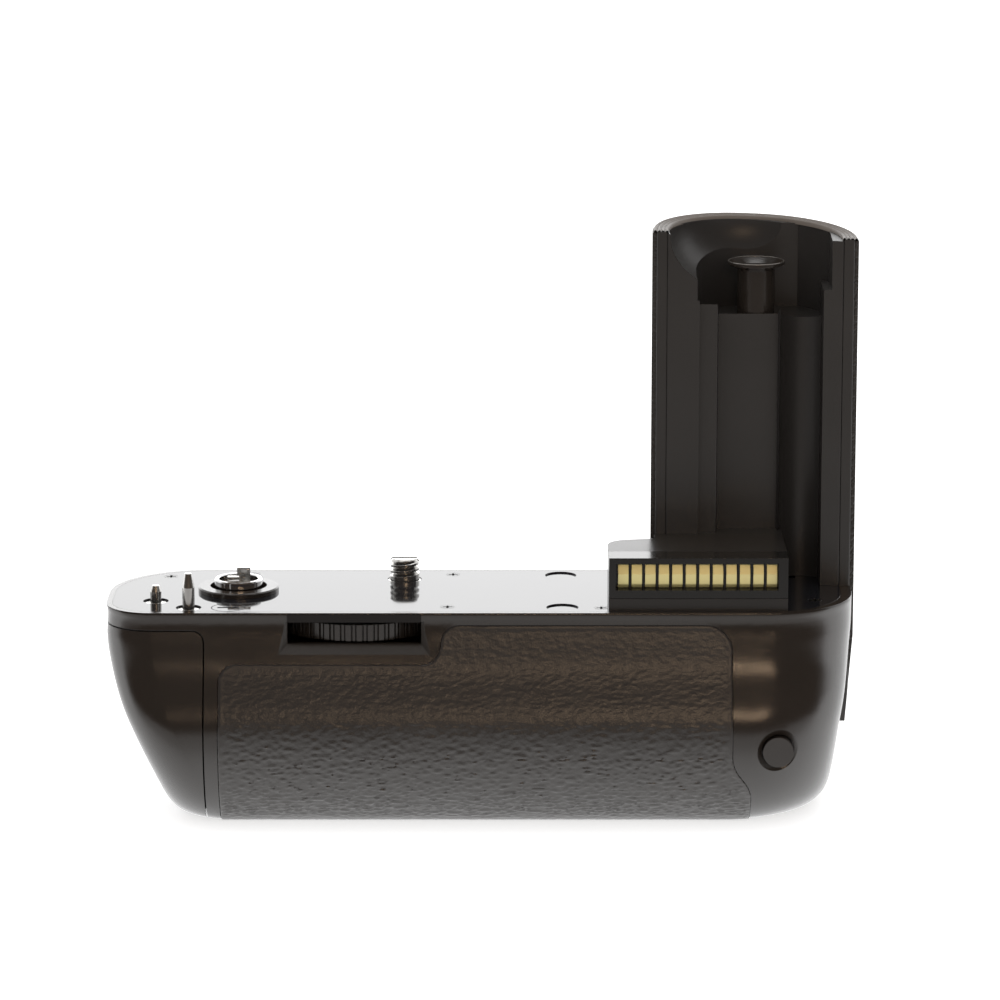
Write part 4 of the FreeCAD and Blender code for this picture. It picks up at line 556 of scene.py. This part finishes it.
# %% The band's surface
rows = []
for step in range(BAND_STEPS + 1):
    inset = BAND_IN - (BAND_IN + BAND_OUT) * step / BAND_STEPS
    rib = 0.5 - 0.5 * math.cos(2 * math.pi * BAND_RIBS * (step / BAND_STEPS))
    drop = BAND_TUCK if step in (0, BAND_STEPS) else 0.0
    rows.append([(x, y, top_height(x, y) + BAND_LIFT + RIB_HEIGHT * rib ** RIB_ROUND - drop)
                 for x, y in band_line(inset)])
wide = len(rows[0])
points = [Vector(point) * MM for row in rows for point in row]
quads = [(r * wide + c, r * wide + c + 1, (r + 1) * wide + c + 1, (r + 1) * wide + c)
         for r in range(len(rows) - 1) for c in range(wide - 1)]
band_mesh = bpy.data.meshes.new("grip_band")
band_mesh.from_pydata(points, [], quads)
band_mesh.shade_smooth()
band = bpy.data.objects.new("grip_band", band_mesh)
bpy.context.scene.collection.objects.link(band)
# painted light: the same leatherette as the sides, made several times lighter where the top faces up
band_mesh.materials.append(finish("band_leather_lit_top", (0.15, 0.125, 0.105), 0.45, grain=0.8, grain_size=0.3,
                                  edge=0.0))
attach(band, "base")
print("the band runs along", wide, "points with", BAND_RIBS, "ribs")

# %% [markdown]
# ## Two fine edges
# The stud ends in a cup with a thin lip, and the shell has a flat bar over the thumbwheel's window. Both
# are too fine for the solids, but they catch the light. The lip is a real edge, but its pale metal ring is
# lighter than the cup: a painted highlight along the rim.


# %% Lip of the cup
def ring(name, centre, radius, thick, count=72, sides=10):
    """A thin closed ring round an upright axis."""
    points = []
    for index in range(count):
        turn = 2 * math.pi * index / count
        for side in range(sides):
            swing = 2 * math.pi * side / sides
            reach = radius + thick * math.cos(swing)
            points.append(Vector((centre.x + reach * math.cos(turn), centre.y + reach * math.sin(turn),
                                  centre.z + thick * math.sin(swing))) * MM)
    quads = [(a * sides + b, ((a + 1) % count) * sides + b, ((a + 1) % count) * sides + (b + 1) % sides,
              a * sides + (b + 1) % sides) for a in range(count) for b in range(sides)]
    mesh = bpy.data.meshes.new(name)
    mesh.from_pydata(points, [], quads)
    mesh.shade_smooth()
    made = bpy.data.objects.new(name, mesh)
    bpy.context.scene.collection.objects.link(made)
    return made


LIP_INSET, LIP_THICK = 0.18, 0.16

stud = frame["nodes"]["locating_stud"]
stud_points = [stud.matrix_world @ v.co / MM for v in stud.data.vertices]
cup_top = max(p.z for p in stud_points)
cup_radius = (max(p.x for p in stud_points) - min(p.x for p in stud_points)) / 2
cup_middle = Vector((max(p.x for p in stud_points), max(p.y for p in stud_points), cup_top))
cup_middle -= Vector((cup_radius, cup_radius, 0))
lip = ring("cup_lip", cup_middle, cup_radius - LIP_INSET, LIP_THICK)
# painted highlight: a pale metal ring, lighter than the cup, for the bright arc along its rim
lip.data.materials.append(finish("cup_lip_highlight", (0.30, 0.28, 0.26), 0.25, metal=0.8))
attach(lip, "base")
print("cup of radius", round(cup_radius, 2), "at", [round(v, 2) for v in cup_middle])

# %% Bar over the thumbwheel's window
WINDOW = (-24.1, 4.0)
BAR_TOP, BAR_BOTTOM = -0.25, -2.05
BAR_OUT, BAR_SUNK = 0.10, 0.6
BAR_ROUND = 0.14
RIM_NEAR = 1e-5
wall = min(v.co.y for v in frame["nodes"]["base_shell"].data.vertices if abs(v.co.z) < RIM_NEAR) / MM


def soft_bar(name, low, high, bend):
    """A bar between two corners, with its edges rounded by one bevel."""
    sheet = bmesh.new()
    bmesh.ops.create_cube(sheet, size=1.0)
    for vertex in sheet.verts:
        share = vertex.co + Vector((0.5, 0.5, 0.5))
        vertex.co = Vector([a + (b - a) * s for a, b, s in zip(low, high, share)]) * MM
    bmesh.ops.bevel(sheet, geom=sheet.edges[:], offset=bend * MM, segments=3, affect="EDGES")
    mesh = bpy.data.meshes.new(name)
    sheet.to_mesh(mesh)
    sheet.free()
    mesh.shade_smooth()
    mesh.set_sharp_from_angle(angle=math.radians(40))
    made = bpy.data.objects.new(name, mesh)
    bpy.context.scene.collection.objects.link(made)
    return made


bar_low = (WINDOW[0], wall - BAR_OUT, BAR_BOTTOM)
bar_high = (WINDOW[1], wall + BAR_SUNK, BAR_TOP)
bar = soft_bar("window_bar", bar_low, bar_high, BAR_ROUND)
bar.data.materials.append(finish("bar_black", (0.010, 0.008, 0.007), 0.20, specular=0.35, edge=0.0))
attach(bar, "base")
print("the bar lies on the wall at", round(wall, 2), "mm")

# %% [markdown]
# ## Sizes at the end
# The box round the solids is written down.

# %% Sizes and finish
print("cad", [round(v / MM, 2) for v in (*cad_low, *cad_high)])
